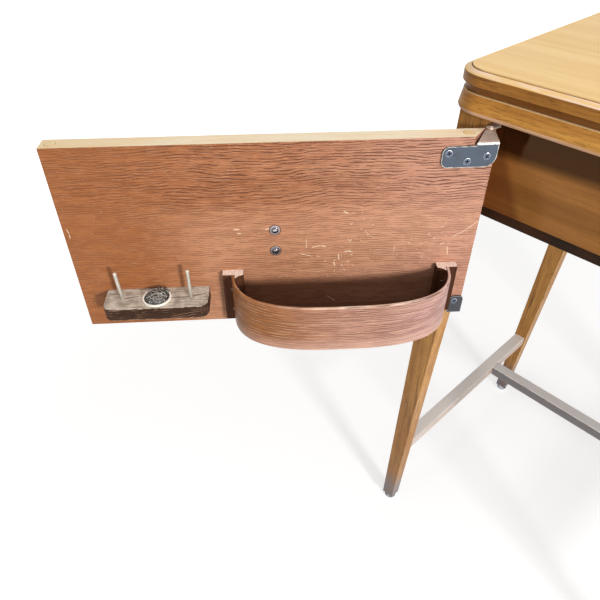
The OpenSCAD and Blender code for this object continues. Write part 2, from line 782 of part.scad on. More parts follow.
module low_hanger_screw_holes() {
    low_hanger_screw_places() translate([0, 0, -cut])
        cylinder(d = hinge_screw_d + 2 * fit, h = hinge_screw_l + cut);
}

module door_hanger_bottom() {
    lug_x = leg_inner_x(low_lug_z() + plate_t) - fit;
    color([0.45, 0.47, 0.5]) difference() {
        union() {
            low_hanger_leaf();
            translate([0, 0, low_lug_z()]) linear_extrude(plate_t) {
                translate(door_axis) circle(lobe_r);
                polygon([[-lug_x, door_axis[1]], [door_axis[0], door_axis[1] - lobe_r + lobe_tuck],
                    [door_axis[0] + lobe_r - lobe_tuck, door_axis[1]],
                    [-lug_x + plate_t, low_hanger_y() + low_hanger_w],
                    [-lug_x, low_hanger_y() + low_hanger_w]]);
            }
        }
        translate([door_axis[0], door_axis[1], low_lug_z() - cut])
            cylinder(r = hinge_pin_d / 2 + fit, h = plate_t + 2 * cut);
        low_hanger_screw_places() translate([0, 0, -plate_t - cut])
            cylinder(d = hinge_screw_d + 2 * fit, h = plate_t + 2 * cut);
    }
}

module door_hinge_pins() {
    color([0.75, 0.74, 0.72]) {
        translate([door_axis[0], door_axis[1], 0]) {
            translate([0, 0, door_z1 + hanger_gap + plate_t]) cylinder(d = pin_head_d, h = pin_head_h);
            translate([0, 0, door_z1 - flange_depth - plate_t])
                cylinder(d = hinge_pin_d, h = flange_depth + hanger_gap + 2 * plate_t);
            translate([0, 0, low_lug_z() - pin_head_h]) cylinder(d = pin_head_d, h = pin_head_h);
            translate([0, 0, low_lug_z()]) cylinder(d = hinge_pin_d, h = 2 * plate_t + washer_play);
        }
    }
}

// Spacer washer between the door's top flange and the lug above it
module door_hinge_washers() {
    color([0.8, 0.68, 0.4]) translate([door_axis[0], door_axis[1], door_z1 - flange_depth + washer_play])
        difference() {
            cylinder(r = lobe_r - washer_edge_in, h = flange_depth + hanger_gap - washer_play);
            translate([0, 0, -cut])
                cylinder(r = hinge_pin_d / 2 + fit, h = flange_depth + 2 * cut + hanger_gap);
        }
}

module hanger_screws() {
    color([0.66, 0.66, 0.66]) {
        for (p = hanger_screw_places()) translate([p[0], p[1], lower_z - plate_t]) {
            translate([0, 0, -hinge_screw_head_h]) cylinder(d = hinge_screw_head_d, h = hinge_screw_head_h);
            cylinder(d = hinge_screw_d, h = plate_t);
        }
        low_hanger_screw_places() translate([0, 0, -plate_t - hinge_screw_head_h]) {
            cylinder(d = hinge_screw_head_d, h = hinge_screw_head_h);
            cylinder(d = hinge_screw_d, h = hinge_screw_l + plate_t);
        }
    }
}

// Turns what is modelled on the closed door out to the photographed pose.
// Its children use the door's own axes: x from the hinge edge, y from the outer face, z from the floor.
module on_door() {
    translate([door_axis[0], door_axis[1], 0]) rotate(-door_open)
        translate([-axis_in, -axis_deep, 0]) children();
}

// Same, with x from the free edge towards the hinge and y out from the inner face
module on_inner_face() {
    on_door() translate([door_w, door_t, 0]) mirror([1, 0, 0]) children();
}

module door_screw_holes() {
    for (p = top_screws) translate([p[0], door_t, door_z1 - p[1]]) rotate([90, 0, 0])
        cylinder(d = hinge_screw_d + 2 * fit, h = hinge_screw_l);
    translate([low_screw[0], door_t, door_z0 + low_screw[1]]) rotate([90, 0, 0])
        cylinder(d = hinge_screw_d + 2 * fit, h = hinge_screw_l);
}

function bolt_levels() = [door_z1 - bolt_low, door_z1 - bolt_low - bolt_span];

module door_panel() {
    color([0.8, 0.55, 0.4]) on_door() difference() {
        translate([0, 0, door_z0]) cube([door_w, door_t, door_h]);
        hinge_notch();
        door_screw_holes();
        for (z = bolt_levels()) translate([door_w / 2, -cut, z]) rotate([-90, 0, 0])
            cylinder(d = bolt_d + 2 * fit, h = door_t + 2 * cut);
        for (x = plug_places()) translate([x, door_t / 2, door_z1 - plug_l])
            cylinder(d = plug_d + 2 * fit, h = plug_l + cut);
        translate([door_w - catch_l, door_t / 2, door_z1 - catch_low]) rotate([0, 90, 0])
            cylinder(d = catch_d + 2 * fit, h = catch_l + cut);
    }
}

// Notch under the top flange, cut aslant across the door's top corner
module hinge_notch() {
    flat_low = flange_depth + plate_t + flange_gap;
    fold_low = fold_mid_low + flange_gap;
    intersection() {
        translate([0, 0, door_z1 - fold_low - cut]) linear_extrude(fold_low + 2 * cut)
            polygon([[-cut, -cut], [notch_edge_out - notch_slope() * cut, -cut],
                [notch_edge_in + notch_slope() * cut, door_t + cut], [-cut, door_t + cut]]);
        translate([-2 * cut, 0, door_z1]) rotate([90, 0, 90]) linear_extrude(notch_edge_in + 4 * cut)
            polygon([[-2 * cut, 3 * cut], [-2 * cut, -flat_low], [flange_flat_y - plate_t, -flat_low],
                [door_t, -fold_low], [door_t + 2 * cut, -fold_low], [door_t + 2 * cut, 3 * cut]]);
    }
}

function notch_slope() = (notch_edge_in - notch_edge_out) / door_t;
function plug_places() = [door_w - plug_free_in, plug_hinge_in];

module door_plugs() {
    color([0.93, 0.86, 0.7]) on_door() for (x = plug_places())
        translate([x, door_t / 2, door_z1 - plug_l]) cylinder(d = plug_d, h = plug_l + plug_proud);
}

// Outline of a hinge flange from the fold to the lobe round the pin
module flange_outline(fold_l, out_y) {
    run = [notch_slope(), 1] / norm([notch_slope(), 1]);
    side = [run[1], -run[0]];
    near = [axis_in, axis_deep] + (lobe_r - lobe_tuck) * side;
    far_x = near[0] + notch_slope() * (out_y - near[1]);
    translate([axis_in, axis_deep]) circle(lobe_r);
    polygon([[axis_in - lobe_r + lobe_tuck, axis_deep], near,
        [min(far_x, fold_l - plate_past_edge), out_y], [-plate_past_edge, out_y]]);
}

// Section of the top hinge from its flat pin end down the slope and round the fold
module flange_section() {
    start = axis_deep - lobe_r - cut;
    half = tan(flange_slope / 2);
    turn = 90 - flange_slope;
    function on_fold(r) = [for (i = [0 : fold_steps]) let (a = turn * i / fold_steps)
        [fold_mid_y + r * cos(a), -fold_mid_low + r * sin(a)]];
    upper = on_fold(bend_r);
    under = on_fold(bend_r - plate_t);
    polygon(concat(
        [[start, -flange_depth], [flange_flat_y, -flange_depth]],
        [for (i = [fold_steps : -1 : 0]) upper[i]],
        [[fold_y, -fold_mid_low - hinge_step], [door_t, -fold_mid_low - hinge_step]],
        under,
        [[flange_flat_y - plate_t * half, -flange_depth - plate_t], [start, -flange_depth - plate_t]]));
}

// Top hinge: a plate on the inner face, bent over the notch into a flange that reaches the pin
module door_hinge_top() {
    bend_z = door_z1 - fold_mid_low;
    left = hinge_plate_l - plate_past_edge;
    low = door_z1 - hinge_plate_low;
    step_z = bend_z - hinge_step;
    color([0.36, 0.4, 0.45]) on_door() difference() {
        union() {
            intersection() {
                translate([-plate_past_edge, 0, door_z1]) rotate([90, 0, 90])
                    linear_extrude(hinge_fold_l) flange_section();
                translate([0, 0, bend_z - hinge_step - cut])
                    linear_extrude(fold_mid_low + hinge_step + 2 * cut)
                        flange_outline(hinge_fold_l, fold_y + cut);
            }
            translate([0, fold_y, 0]) rotate([90, 0, 0]) linear_extrude(plate_t) {
                translate([left - plate_end_l / 2, (step_z + low) / 2])
                    round_end(plate_end_l, step_z - low, plate_end_r);
                translate([plate_round_r - plate_past_edge, low])
                    square([left - plate_end_r - plate_round_r + plate_past_edge, step_z - low]);
                translate([-plate_past_edge, low + plate_round_r])
                    square([hinge_fold_l, bend_z - low - plate_round_r]);
                translate([plate_round_r - plate_past_edge, low + plate_round_r]) circle(plate_round_r);
            }
        }
        translate([axis_in, axis_deep, door_z1 - flange_depth - plate_t - cut])
            cylinder(r = hinge_pin_d / 2 + run_fit, h = plate_t + 2 * cut);
        for (p = top_screws) translate([p[0], door_t + plate_t + cut, door_z1 - p[1]]) rotate([90, 0, 0])
            screw_sink(cut);
    }
}

// A plate end with its two outer corners rounded, centred on its own middle
module round_end(w, h, r) {
    translate([-w / 2, -h / 2]) square([w - r, h]);
    translate([-w / 2, -h / 2 + r]) square([w, h - 2 * r]);
    for (s = [-1, 1]) translate([w / 2 - r, s * (h / 2 - r)]) circle(r);
}

// Countersunk hole for a hinge screw, from the plate's face down
module screw_sink(over) {
    cylinder(d = hinge_screw_head_d + 2 * fit, h = over);
    translate([0, 0, over]) cylinder(d1 = hinge_screw_head_d + 2 * fit, d2 = hinge_screw_d + 2 * fit,
        h = hinge_screw_head_h);
    cylinder(d = hinge_screw_d + 2 * fit, h = over + plate_t + cut);
}

// Bottom hinge: a short plate on the inner face, with a flange under the door
module door_hinge_bottom() {
    flange_z = door_z0 - low_flange_drop - plate_t;
    color([0.3, 0.33, 0.36]) on_door() difference() {
        union() {
            translate([0, 0, flange_z]) linear_extrude(plate_t)
                flange_outline(low_plate_l, door_t + plate_t);
            translate([0, door_t + plate_t, 0]) rotate([90, 0, 0]) linear_extrude(plate_t) {
                translate([-plate_past_edge, flange_z]) square([low_plate_l, low_plate_h - low_plate_r]);
                translate([-plate_past_edge + low_plate_r, flange_z])
                    square([low_plate_l - 2 * low_plate_r, low_plate_h]);
                for (x = [low_plate_r, low_plate_l - low_plate_r])
                    translate([x - plate_past_edge, flange_z + low_plate_h - low_plate_r])
                        circle(low_plate_r);
            }
        }
        translate([axis_in, axis_deep, flange_z - cut])
            cylinder(r = hinge_pin_d / 2 + run_fit, h = plate_t + 2 * cut);
        translate([low_screw[0], door_t + plate_t + cut, door_z0 + low_screw[1]]) rotate([90, 0, 0])
            screw_sink(cut);
    }
}

module hinge_screw() {
    cylinder(d1 = hinge_screw_head_d, d2 = hinge_screw_d, h = hinge_screw_head_h);
    cylinder(d = hinge_screw_d, h = hinge_screw_l + plate_t - fit);
}

module door_hinge_screws() {
    color([0.6, 0.62, 0.65]) on_door() {
        for (p = top_screws) translate([p[0], door_t + plate_t, door_z1 - p[1]]) rotate([90, 0, 0])
            hinge_screw();
        translate([low_screw[0], door_t + plate_t, door_z0 + low_screw[1]]) rotate([90, 0, 0])
            hinge_screw();
    }
}

// Door pull on the outer face: an upright grip with a hollowed finger groove down each side
module door_pull() {
    mid_z = door_z1 - bolt_low - bolt_span / 2;
    color([0.5, 0.33, 0.18]) on_door() difference() {
        translate([door_w / 2, 0, mid_z - pull_h / 2]) linear_extrude(pull_h) difference() {
            translate([-pull_w / 2, -pull_d]) square([pull_w, pull_d]);
            for (s = [-1, 1]) translate([s * (pull_w / 2 + pull_waist - pull_groove), -pull_groove_y])
                circle(pull_waist);
        }
        for (z = bolt_levels()) translate([door_w / 2, cut, z]) rotate([90, 0, 0])
            cylinder(d = bolt_d + 2 * fit, h = bolt_into_pull + cut);
    }
}

module pull_bolts() {
    color([0.5, 0.52, 0.54]) on_door() for (z = bolt_levels())
        translate([door_w / 2, door_t + bolt_washer_t, z]) {
            rotate([-90, 0, 0]) cylinder(d1 = bolt_head_d, d2 = bolt_top_d, h = bolt_head_h);
            rotate([90, 0, 0])
                cylinder(d = bolt_d, h = bolt_washer_t + door_t + bolt_into_pull - fit);
        }
}

module pull_washers() {
    color([0.62, 0.63, 0.64]) on_door() for (z = bolt_levels())
        translate([door_w / 2, door_t, z]) rotate([-90, 0, 0]) difference() {
            cylinder(d = bolt_washer_d, h = bolt_washer_t);
            translate([0, 0, -cut]) cylinder(d = bolt_d + 2 * fit, h = bolt_washer_t + 2 * cut);
        }
}

// Ball catch in the door's free edge
module door_catch() {
    color([0.72, 0.72, 0.7]) on_door() translate([door_w, door_t / 2, door_z1 - catch_low]) {
        rotate([0, -90, 0]) cylinder(d = catch_d, h = catch_l - fit);
        translate([catch_ball_out - catch_ball_d / 2, 0, 0]) sphere(d = catch_ball_d);
    }
}

module catch_strike() {
    color([0.66, 0.65, 0.62])
    translate([leg_in_x - strike_t, -leg_out_y + strike_in, door_z1 - catch_low - strike_h / 2])
        cube([strike_t, strike_w, strike_h]);
}

// Wooden block for two spools, with a cup for pins in its middle
module spool_block() {
    mid = spool_block_d / 2;
    color([0.68, 0.6, 0.54]) on_inner_face() difference() {
        translate([spool_block_s, 0, door_z1 - spool_block_low - spool_block_h])
            linear_extrude(spool_block_h) {
                translate([-spool_block_l / 2, 0]) square([spool_block_l, spool_block_d - block_corner_r]);
                translate([-spool_block_l / 2 + block_corner_r, 0])
                    square([spool_block_l - 2 * block_corner_r, spool_block_d]);
                for (s = [-1, 1])
                    translate([s * (spool_block_l / 2 - block_corner_r), spool_block_d - block_corner_r])
                        circle(block_corner_r);
            }
        translate([spool_block_s, mid, door_z1 - spool_block_low]) {
            translate([0, 0, -cup_depth]) cylinder(d = cup_d + 2 * fit, h = cup_depth + cut);
            for (s = [-1, 1]) translate([s * spool_pin_span / 2, 0, -spool_pin_in])
                cylinder(d = spool_shank_d + 2 * fit, h = spool_pin_in + cut);
        }
    }
}

module spool_pins() {
    color([0.8, 0.79, 0.75]) on_inner_face() for (s = [-1, 1])
        translate([spool_block_s + s * spool_pin_span / 2, spool_block_d / 2, door_z1 - spool_block_low]) {
            cylinder(d = spool_pin_d, h = spool_pin_h);
            translate([0, 0, fit - spool_pin_in]) cylinder(d = spool_shank_d, h = spool_pin_in);
        }
}

module pin_cup() {
    color([0.92, 0.9, 0.84]) on_inner_face()
    translate([spool_block_s, spool_block_d / 2, door_z1 - spool_block_low - cup_depth]) difference() {
        cylinder(d = cup_d, h = cup_depth + cup_proud);
        translate([0, 0, cup_floor]) cylinder(d = cup_d - 2 * cup_wall, h = cup_depth + cup_proud);
    }
}

// Mound of wire wool that fills the cup and holds the pins
module pin_wool() {
    r = cup_d / 2 - cup_wall - glue_line;
    base = cup_depth + cup_proud - cup_floor - wool_low;
    color([0.3, 0.3, 0.32]) on_inner_face()
    translate([spool_block_s, spool_block_d / 2, door_z1 - spool_block_low - cup_depth + cup_floor])
        rotate_extrude() polygon(concat([[0, 0], [r, 0]],
            [for (a = [0 : 15 : 90]) [r * cos(a), base + wool_rise * sin(a)]]));
}

// A point on the tray's outer outline at parameter a, and that point moved in by t
function tray_point(a) = [
    tray_w / 2 * sign(cos(a)) * pow(abs(cos(a)), 2 / tray_power),
    tray_d * pow(abs(sin(a)), 2 / tray_power)];
function tray_inward(p) = let (g = [
        sign(p[0]) * pow(abs(p[0]) / (tray_w / 2), tray_power - 1) / (tray_w / 2),
        pow(p[1] / tray_d, tray_power - 1) / tray_d]) -g / norm(g);
function tray_outline(t) = [for (i = [0 : tray_steps])
    let (p = tray_point(180 * i / tray_steps)) p + t * tray_inward(p)];

module tray_shape(t) {
    polygon(tray_outline(t));
}

module tray_at(z) {
    on_inner_face() translate([tray_s, 0, z]) children();
}

module tray_band() {
    color([0.76, 0.56, 0.47]) tray_at(door_z1 - tray_low - tray_h) difference() {
        linear_extrude(tray_h) difference() {
            tray_shape(0);
            tray_shape(tray_t);
            translate([-tray_w, -cut]) square([2 * tray_w, block_back + fit + cut]);
        }
        tray_nail_holes();
    }
}

module tray_bottom() {
    color([0.42, 0.28, 0.2]) tray_at(door_z1 - tray_low - tray_h + tray_floor_up)
        linear_extrude(tray_floor_t) difference() {
            tray_shape(tray_t + fit);
            for (s = [0, 1]) mirror([s, 0]) tray_block_outline(fit);
        }
}

// Plan of a tray end block on the free side: a shoulder past the band and a coved tongue inside it
module tray_block_outline(grow) {
    outer = -tray_w / 2 - end_block_lip;
    translate([outer, 0]) square([end_block_w + grow, block_back]);
    intersection() {
        tray_shape(tray_t + fit);
        difference() {
            translate([outer, 0]) square([end_block_w + grow, block_reach + grow]);
            translate([outer + end_block_w + grow + block_cove_out, block_back + block_cove_r])
                circle(block_cove_r);
        }
    }
}

module tray_block(s) {
    color([0.66, 0.5, 0.44]) tray_at(door_z1 - tray_low - tray_h - block_more) difference() {
        mirror([s, 0, 0]) linear_extrude(tray_h + block_more) tray_block_outline(0);
        translate([0, 0, block_more]) tray_nail_holes();
    }
}

module tray_block_outer() { tray_block(0); }
module tray_block_inner() { tray_block(1); }

module tray_nail_places() {
    for (s = [0, 1], z = [nail_low, nail_high]) mirror([s, 0, 0])
        translate([-tray_edge_at(nail_out), nail_out, z]) rotate([0, 90, 0]) children();
}

// Half width of the tray's outer outline at a distance out from the door
function tray_edge_at(y) = tray_w / 2 * pow(1 - pow(y / tray_d, tray_power), 1 / tray_power);

module tray_nail_holes() {
    tray_nail_places() translate([0, 0, -cut]) cylinder(d = nail_d + 2 * fit, h = nail_l + cut);
}

module tray_nails() {
    color([0.55, 0.55, 0.56]) tray_at(door_z1 - tray_low - tray_h) tray_nail_places() {
        cylinder(d = nail_d, h = nail_l - fit);
        translate([0, 0, -nail_head_out]) {
            cylinder(d = nail_d, h = nail_head_out + cut);
            translate([0, 0, -nail_head_h]) cylinder(d = nail_head_d, h = nail_head_h);
        }
    }
}

upper_leaf_panel();
upper_leaf_rim();
lower_leaf_panel();
lower_leaf_lipping();
leaf_hinges_lower();
leaf_hinges_upper();
leaf_hinge_pins();
leaf_hinge_screws_lower();
leaf_hinge_screws_upper();
leg_front_left();
leg_front_right();
leg_back_left();
leg_back_right();
foot_glides();
side_apron_left();
side_apron_right();
back_apron();
front_apron();
front_rail();
corner_blocks();
side_stretcher_left();
side_stretcher_right();
centre_stretcher();
bed_rest_blocks();
head_hinge_plates();
head_hinge_pins();
head_hinge_screws();
head_arm_left();
head_arm_right();
door_hanger_top();
door_hanger_bottom();
door_hinge_pins();
door_hinge_washers();
hanger_screws();
door_panel();
door_plugs();
door_hinge_top();
door_hinge_bottom();
door_hinge_screws();
door_pull();
pull_bolts();
pull_washers();
door_catch();
catch_strike();
spool_block();
spool_pins();
pin_cup();
pin_wool();
tray_band();
tray_bottom();
tray_block_outer();
tray_block_inner();
tray_nails();
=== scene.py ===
"""Looks of the sewing machine cabinet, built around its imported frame. Lengths are in metres."""

import functools
import json
import math
import random

import bmesh
import bpy
import numpy as np
from mathutils import Matrix, Vector


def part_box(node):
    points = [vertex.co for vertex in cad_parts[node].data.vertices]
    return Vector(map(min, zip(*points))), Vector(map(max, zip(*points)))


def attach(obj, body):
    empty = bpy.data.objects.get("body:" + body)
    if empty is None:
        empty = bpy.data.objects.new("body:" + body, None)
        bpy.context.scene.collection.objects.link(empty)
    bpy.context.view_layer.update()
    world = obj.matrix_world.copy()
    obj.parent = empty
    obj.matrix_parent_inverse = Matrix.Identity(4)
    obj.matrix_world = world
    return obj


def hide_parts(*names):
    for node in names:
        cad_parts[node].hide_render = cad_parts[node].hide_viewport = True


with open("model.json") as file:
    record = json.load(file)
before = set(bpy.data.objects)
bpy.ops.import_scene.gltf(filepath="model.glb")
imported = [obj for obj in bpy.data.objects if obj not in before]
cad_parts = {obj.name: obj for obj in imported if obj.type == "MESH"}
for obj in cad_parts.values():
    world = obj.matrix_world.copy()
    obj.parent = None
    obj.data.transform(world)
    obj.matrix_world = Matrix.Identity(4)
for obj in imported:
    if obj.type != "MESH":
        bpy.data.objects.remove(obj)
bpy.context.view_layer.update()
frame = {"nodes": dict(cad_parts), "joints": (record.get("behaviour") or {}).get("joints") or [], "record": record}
nodes = frame["nodes"]
joints = {joint["name"]: joint for joint in frame["joints"]}
body_of = {n: body for body, names in frame["record"]["behaviour"]["bodies"].items() for n in names}

MM = 0.001
UP = Vector((0, 0, 1))

# Corner points nearer than this are one point
SAME_POINT = 0.004 * MM
# Arrises sharper than ARRIS are rounded, and bends gentler than SMOOTH are shaded as one surface
ARRIS = math.radians(28)
SMOOTH = math.radians(32)

# The top and its rounded corners, and the heights of the mouldings round its two leaves
TOP_W, TOP_D, TOP_R = 520 * MM, 437 * MM, 33 * MM
RIM_OUTER_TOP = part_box("upper_leaf_rim")[1].z - 3.3 * MM
RIM_FACE_LOW = RIM_OUTER_TOP - 10 * MM
LIPPING_LOW, LIPPING_TOP = (corner.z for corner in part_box("lower_leaf_lipping"))

# The door, its hinge axis in from its end and inner face, and how far it stands open at rest
DOOR_W, DOOR_T = 427.5 * MM, 19.4 * MM
DOOR_AXIS_IN, DOOR_AXIS_DEEP = 2 * MM, 1.5 * MM
door_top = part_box("door_panel")[1].z
door_pivot = Vector(joints["door_swing"]["pos_m"])
door_open = math.radians(joints["door_swing"]["range_deg"][1])
door_turn = Matrix.Translation(door_pivot) @ Matrix.Rotation(-door_open, 4, "Z")

# The pull's bolts and the plugs in the top edge, from the door's free edge and down from its top
BOLTS_S, BOLTS_DOWN = DOOR_W / 2, (95.7 * MM, 121.4 * MM)
PLUGS_S, PLUG_R = (9.4 * MM, DOOR_W - 25.5 * MM), 5.2 * MM
# The middle of the spool block's top, and the radius of the wad in its cup
SPOOL_S, SPOOL_OUT, SPOOL_DOWN = 84 * MM, 17.5 * MM, 165.3 * MM
WOOL_R = 13.1 * MM
# A hinge plate's rubbed border leaves out what is nearer than this to a screw's axis
HOLE_CLEAR = 4.6 * MM

# The tray's band: width, reach, height and thickness
TRAY_W, TRAY_D, TRAY_H, TRAY_T = 237.3 * MM, 71 * MM, 58 * MM, 3.5 * MM
# Its middle and its rim's depth on the door, the power of its outline and the gap behind its ends
TRAY_S, TRAY_DOWN, TRAY_POWER, BAND_START = 283.7 * MM, 145 * MM, 2.8, 9.05 * MM

# The camera, as the photograph's vanishing points give it
CAMERA_AT = Vector((0.0448, -0.7004, 0.9438))
CAMERA_DOWN = math.radians(39.75)
CAMERA_LEFT = math.radians(46.95)
CAMERA_ROLL = math.radians(0.15)
SENSOR = 36.0
FOCAL_SHARE = 562 / 600


def door_point(s, out, down):
    """A point by its distance from the door's free edge, out from its inner face and down from its top."""
    local = Vector((DOOR_W - s - DOOR_AXIS_IN, DOOR_T + out - DOOR_AXIS_DEEP, 0))
    place = door_turn @ local
    return Vector((place.x, place.y, door_top - down))


door_along = (door_point(1, 0, 0) - door_point(0, 0, 0)).normalized()
door_normal = (door_point(0, 1, 0) - door_point(0, 0, 0)).normalized()


def linear(c):
    """A colour's channel in linear form, from one written from 0 to 255."""
    c = c / 255
    return c / 12.92 if c <= 0.04045 else ((c + 0.055) / 1.055) ** 2.4


class Value:
    """What a node puts out. The usual signs add the nodes that work out the next value."""

    def __init__(self, net, socket):
        self.net = net
        self.socket = socket

    def __add__(self, other):
        return self.net.math("ADD", self, other)

    def __sub__(self, other):
        return self.net.math("SUBTRACT", self, other)

    def __rsub__(self, other):
        return self.net.math("SUBTRACT", other, self)

    def __mul__(self, other):
        return self.net.math("MULTIPLY", self, other)

    def __abs__(self):
        return self.net.math("ABSOLUTE", self)

    def either(self, other):
        """The larger of two values."""
        return self.net.math("MAXIMUM", self, other)

    def span(self, low, high, to_low=0.0, to_high=1.0):
        """This number mapped smoothly from low..high to to_low..to_high."""
        node = self.net.add("ShaderNodeMapRange", {"interpolation_type": "SMOOTHSTEP"}, Value=self,
                            From_Min=low, From_Max=high, To_Min=to_low, To_Max=to_high)
        return self.net.out(node, "Result")

    def toward(self, colour, share):
        """This colour mixed with a share of another."""
        return self.net.mix(share, self, colour)


def largest(values):
    """The largest of several values."""
    return functools.reduce(Value.either, values)


class Nodes:
    """A node tree, with short calls for the nodes used here. Colours are written from 0 to 255."""

    def __init__(self, tree):
        self.tree = tree

    def put(self, socket, value):
        if isinstance(value, Value):
            self.tree.links.new(value.socket, socket)
        elif socket.type == "RGBA":
            socket.default_value = [*map(linear, value), 1.0]
        else:
            socket.default_value = value

    def fill(self, node, values):
        """Puts values into a node's inputs by their names."""
        for key, value in values.items():
            self.put(node.inputs[key.replace("_", " ")], value)

    def add(self, kind, choices=None, **values):
        """A node with its own choices set and its inputs filled."""
        node = self.tree.nodes.new(kind)
        for key, choice in (choices or {}).items():
            setattr(node, key, choice)
        self.fill(node, values)
        return node

    def out(self, node, name=0):
        return Value(self, node.outputs[name])

    def operate(self, kind, operation, values):
        node = self.add(kind, {"operation": operation})
        for socket, value in zip(node.inputs, values):
            self.put(socket, value)
        return node

    def math(self, operation, *values):
        return self.out(self.operate("ShaderNodeMath", operation, values))

    def vector(self, operation, *values):
        return self.out(self.operate("ShaderNodeVectorMath", operation, values),
                        "Value" if operation == "LENGTH" else "Vector")

    def mix(self, share, a, b):
        return self.out(self.add("ShaderNodeMix", {"data_type": "RGBA"}, Factor=share, A=a, B=b), "Result")

    def parts(self, vector):
        node = self.add("ShaderNodeSeparateXYZ", Vector=vector)
        return [self.out(node, i) for i in range(3)]

    def join(self, x, y, z):
        return self.out(self.add("ShaderNodeCombineXYZ", X=x, Y=y, Z=z))

    def noise(self, vector, stretch, detail=3.0, rough=0.55):
        scaled = self.vector("MULTIPLY", vector, stretch)
        node = self.add("ShaderNodeTexNoise", Vector=scaled, Scale=1.0, Detail=detail, Roughness=rough)
        return self.out(node)

    def places(self):
        """The piece's own coordinates, which stay on it when it moves."""
        return self.out(self.add("ShaderNodeTexCoord"), "Object")

    def cloud(self, scale, detail, rough=0.55):
        """Noise that is alike in all directions."""
        return self.noise(self.places(), (scale, scale, scale), detail, rough)

    def rotated(self, kind, vector, **turn):
        return self.out(self.add("ShaderNodeVectorRotate", {"rotation_type": kind}, Vector=vector, **turn))

    def attribute(self, name, output="Fac"):
        return self.out(self.add("ShaderNodeAttribute", {"attribute_name": name}), output)

    def edge(self):
        """1 on the rounded arrises that soften() makes, else 0."""
        return self.attribute("edge")

    def facing_up(self):
        """1 where the surface of a piece that only turns about upright axes faces up."""
        return self.parts(self.out(self.add("ShaderNodeNewGeometry"), "Normal"))[2].span(0.6, 0.85)


class Net(Nodes):
    """A material's nodes round its principled shader."""

    def __init__(self, name, **surface):
        self.material = bpy.data.materials.new(name)
        self.material.use_nodes = True
        super().__init__(self.material.node_tree)
        self.tree.nodes.clear()
        self.shader = self.add("ShaderNodeBsdfPrincipled", **surface)
        output = self.add("ShaderNodeOutputMaterial")
        self.tree.links.new(self.shader.outputs[0], output.inputs["Surface"])

    def set(self, **values):
        self.fill(self.shader, values)

    def paint(self, colour, share):
        """Lays a share of a colour over the tone so far."""
        self.tone = self.tone.toward(colour, share)
        self.set(Base_Color=self.tone)

    def bump(self, height, distance, strength):
        bump = self.add("ShaderNodeBump", Height=height, Distance=distance, Strength=strength)
        self.set(Normal=self.out(bump))


def upright(net):
    """Grain that runs up a leg: X of the result is the height."""
    x, y, z = net.parts(net.places())
    return net.join(z, x, y)


def front_to_back(net):
    """Grain from the front to the back."""
    x, y, z = net.parts(net.places())
    return net.join(y, x, z)


def along_piece(net):
    """Grain that follows a bent piece, from the coordinates stored on its mesh."""
    return net.attribute("grain", "Vector")


def on_door(net, lean=0.0):
    """Coordinates of the closed door: X along it from the hinge axis, Y through it and Z the height.

    lean tips them for grain that runs askew.
    """
    away = net.vector("SUBTRACT", net.places(), tuple(door_pivot))
    return net.rotated("EULER_XYZ", away, Rotation=(0, lean, door_open))


def door_plane(net):
    """Distance from the door's free edge, depth below its top and distance in from its inner face."""
    x, y, z = net.parts(on_door(net))
    return DOOR_W - DOOR_AXIS_IN - x, door_top - door_pivot.z - z, DOOR_T - DOOR_AXIS_DEEP - y


def marks(net, across, up, cell, length, width, share):
    """Short straight marks at random angles on the plane of across and up, at most one to a cell."""
    flat = net.vector("MULTIPLY", net.join(across, up, 0.0), (1 / cell, 1 / cell, 0))
    cells = net.add("ShaderNodeTexVoronoi", {"voronoi_dimensions": "2D"}, Vector=flat, Scale=1.0)
    angle, pick, size = net.parts(net.out(cells, "Color"))
    away = net.vector("SUBTRACT", flat, net.out(cells, "Position"))
    along, off, _ = net.parts(net.rotated("Z_AXIS", away, Angle=angle * math.tau))
    off_line = abs(off + along * along * (size - 0.5))
    on_line = off_line.span(0.3 * width / cell, width / cell, 1.0, 0.0)
    in_reach = net.math("LESS_THAN", abs(along), size * (length / cell))
    return on_line * in_reach * net.math("LESS_THAN", pick, share)


def strokes(across, down, lines):
    """1 on straight marks on the plane of across and down: start, end and width, in mm."""
    found = []
    for line in lines:
        start, end, width = Vector(line[:2]) * MM, Vector(line[2:4]) * MM, line[4] * MM
        half = (end - start).length / 2
        along = (end - start).normalized()
        x, y = across - start.x, down - start.y
        off = abs(y * along.x - x * along.y)
        past = abs(x * along.x + y * along.y - half)
        found.append(off.span(0.35 * width, width, 1.0, 0.0) * past.span(half - 2 * width, half, 1.0, 0.0))
    return largest(found)


def circle(x, y, radius, inner, outer):
    """1 on a circle round the zero of x and y, fading from inner to outer on both sides of its line."""
    return abs(x.net.math("SQRT", x * x + y * y) - radius).span(inner, outer, 1.0, 0.0)


def streaks(net, g, spacing, run, thick, sway=1.0, begin=0.4):
    """Thin wavy lines along X of g, spacing apart, broken into runs of about the length run.

    thick is a line's share of the spacing. Lines stop where their noise is below begin.
    """
    _, y, z = net.parts(g)
    wander = net.noise(g, (0.3 / run, 0.05 / spacing, 0.05 / spacing), 3, 0.5)
    ripple = net.noise(g, (2.2 / run, 0.2 / spacing, 0.2 / spacing), 2, 0.5)
    turns = (z + y) * (1 / spacing) + wander * (9.0 * sway) + ripple * (1.2 * sway)
    breaks = net.noise(g, (1 / run, 0.5 / spacing, 0.5 / spacing), 3)
    fold = net.math("PINGPONG", turns, 0.5) + breaks.span(begin, begin + 0.2, 1.1 * thick, 0.0)
    return fold.span(0.45 * thick, thick, 1.0, 0.0)


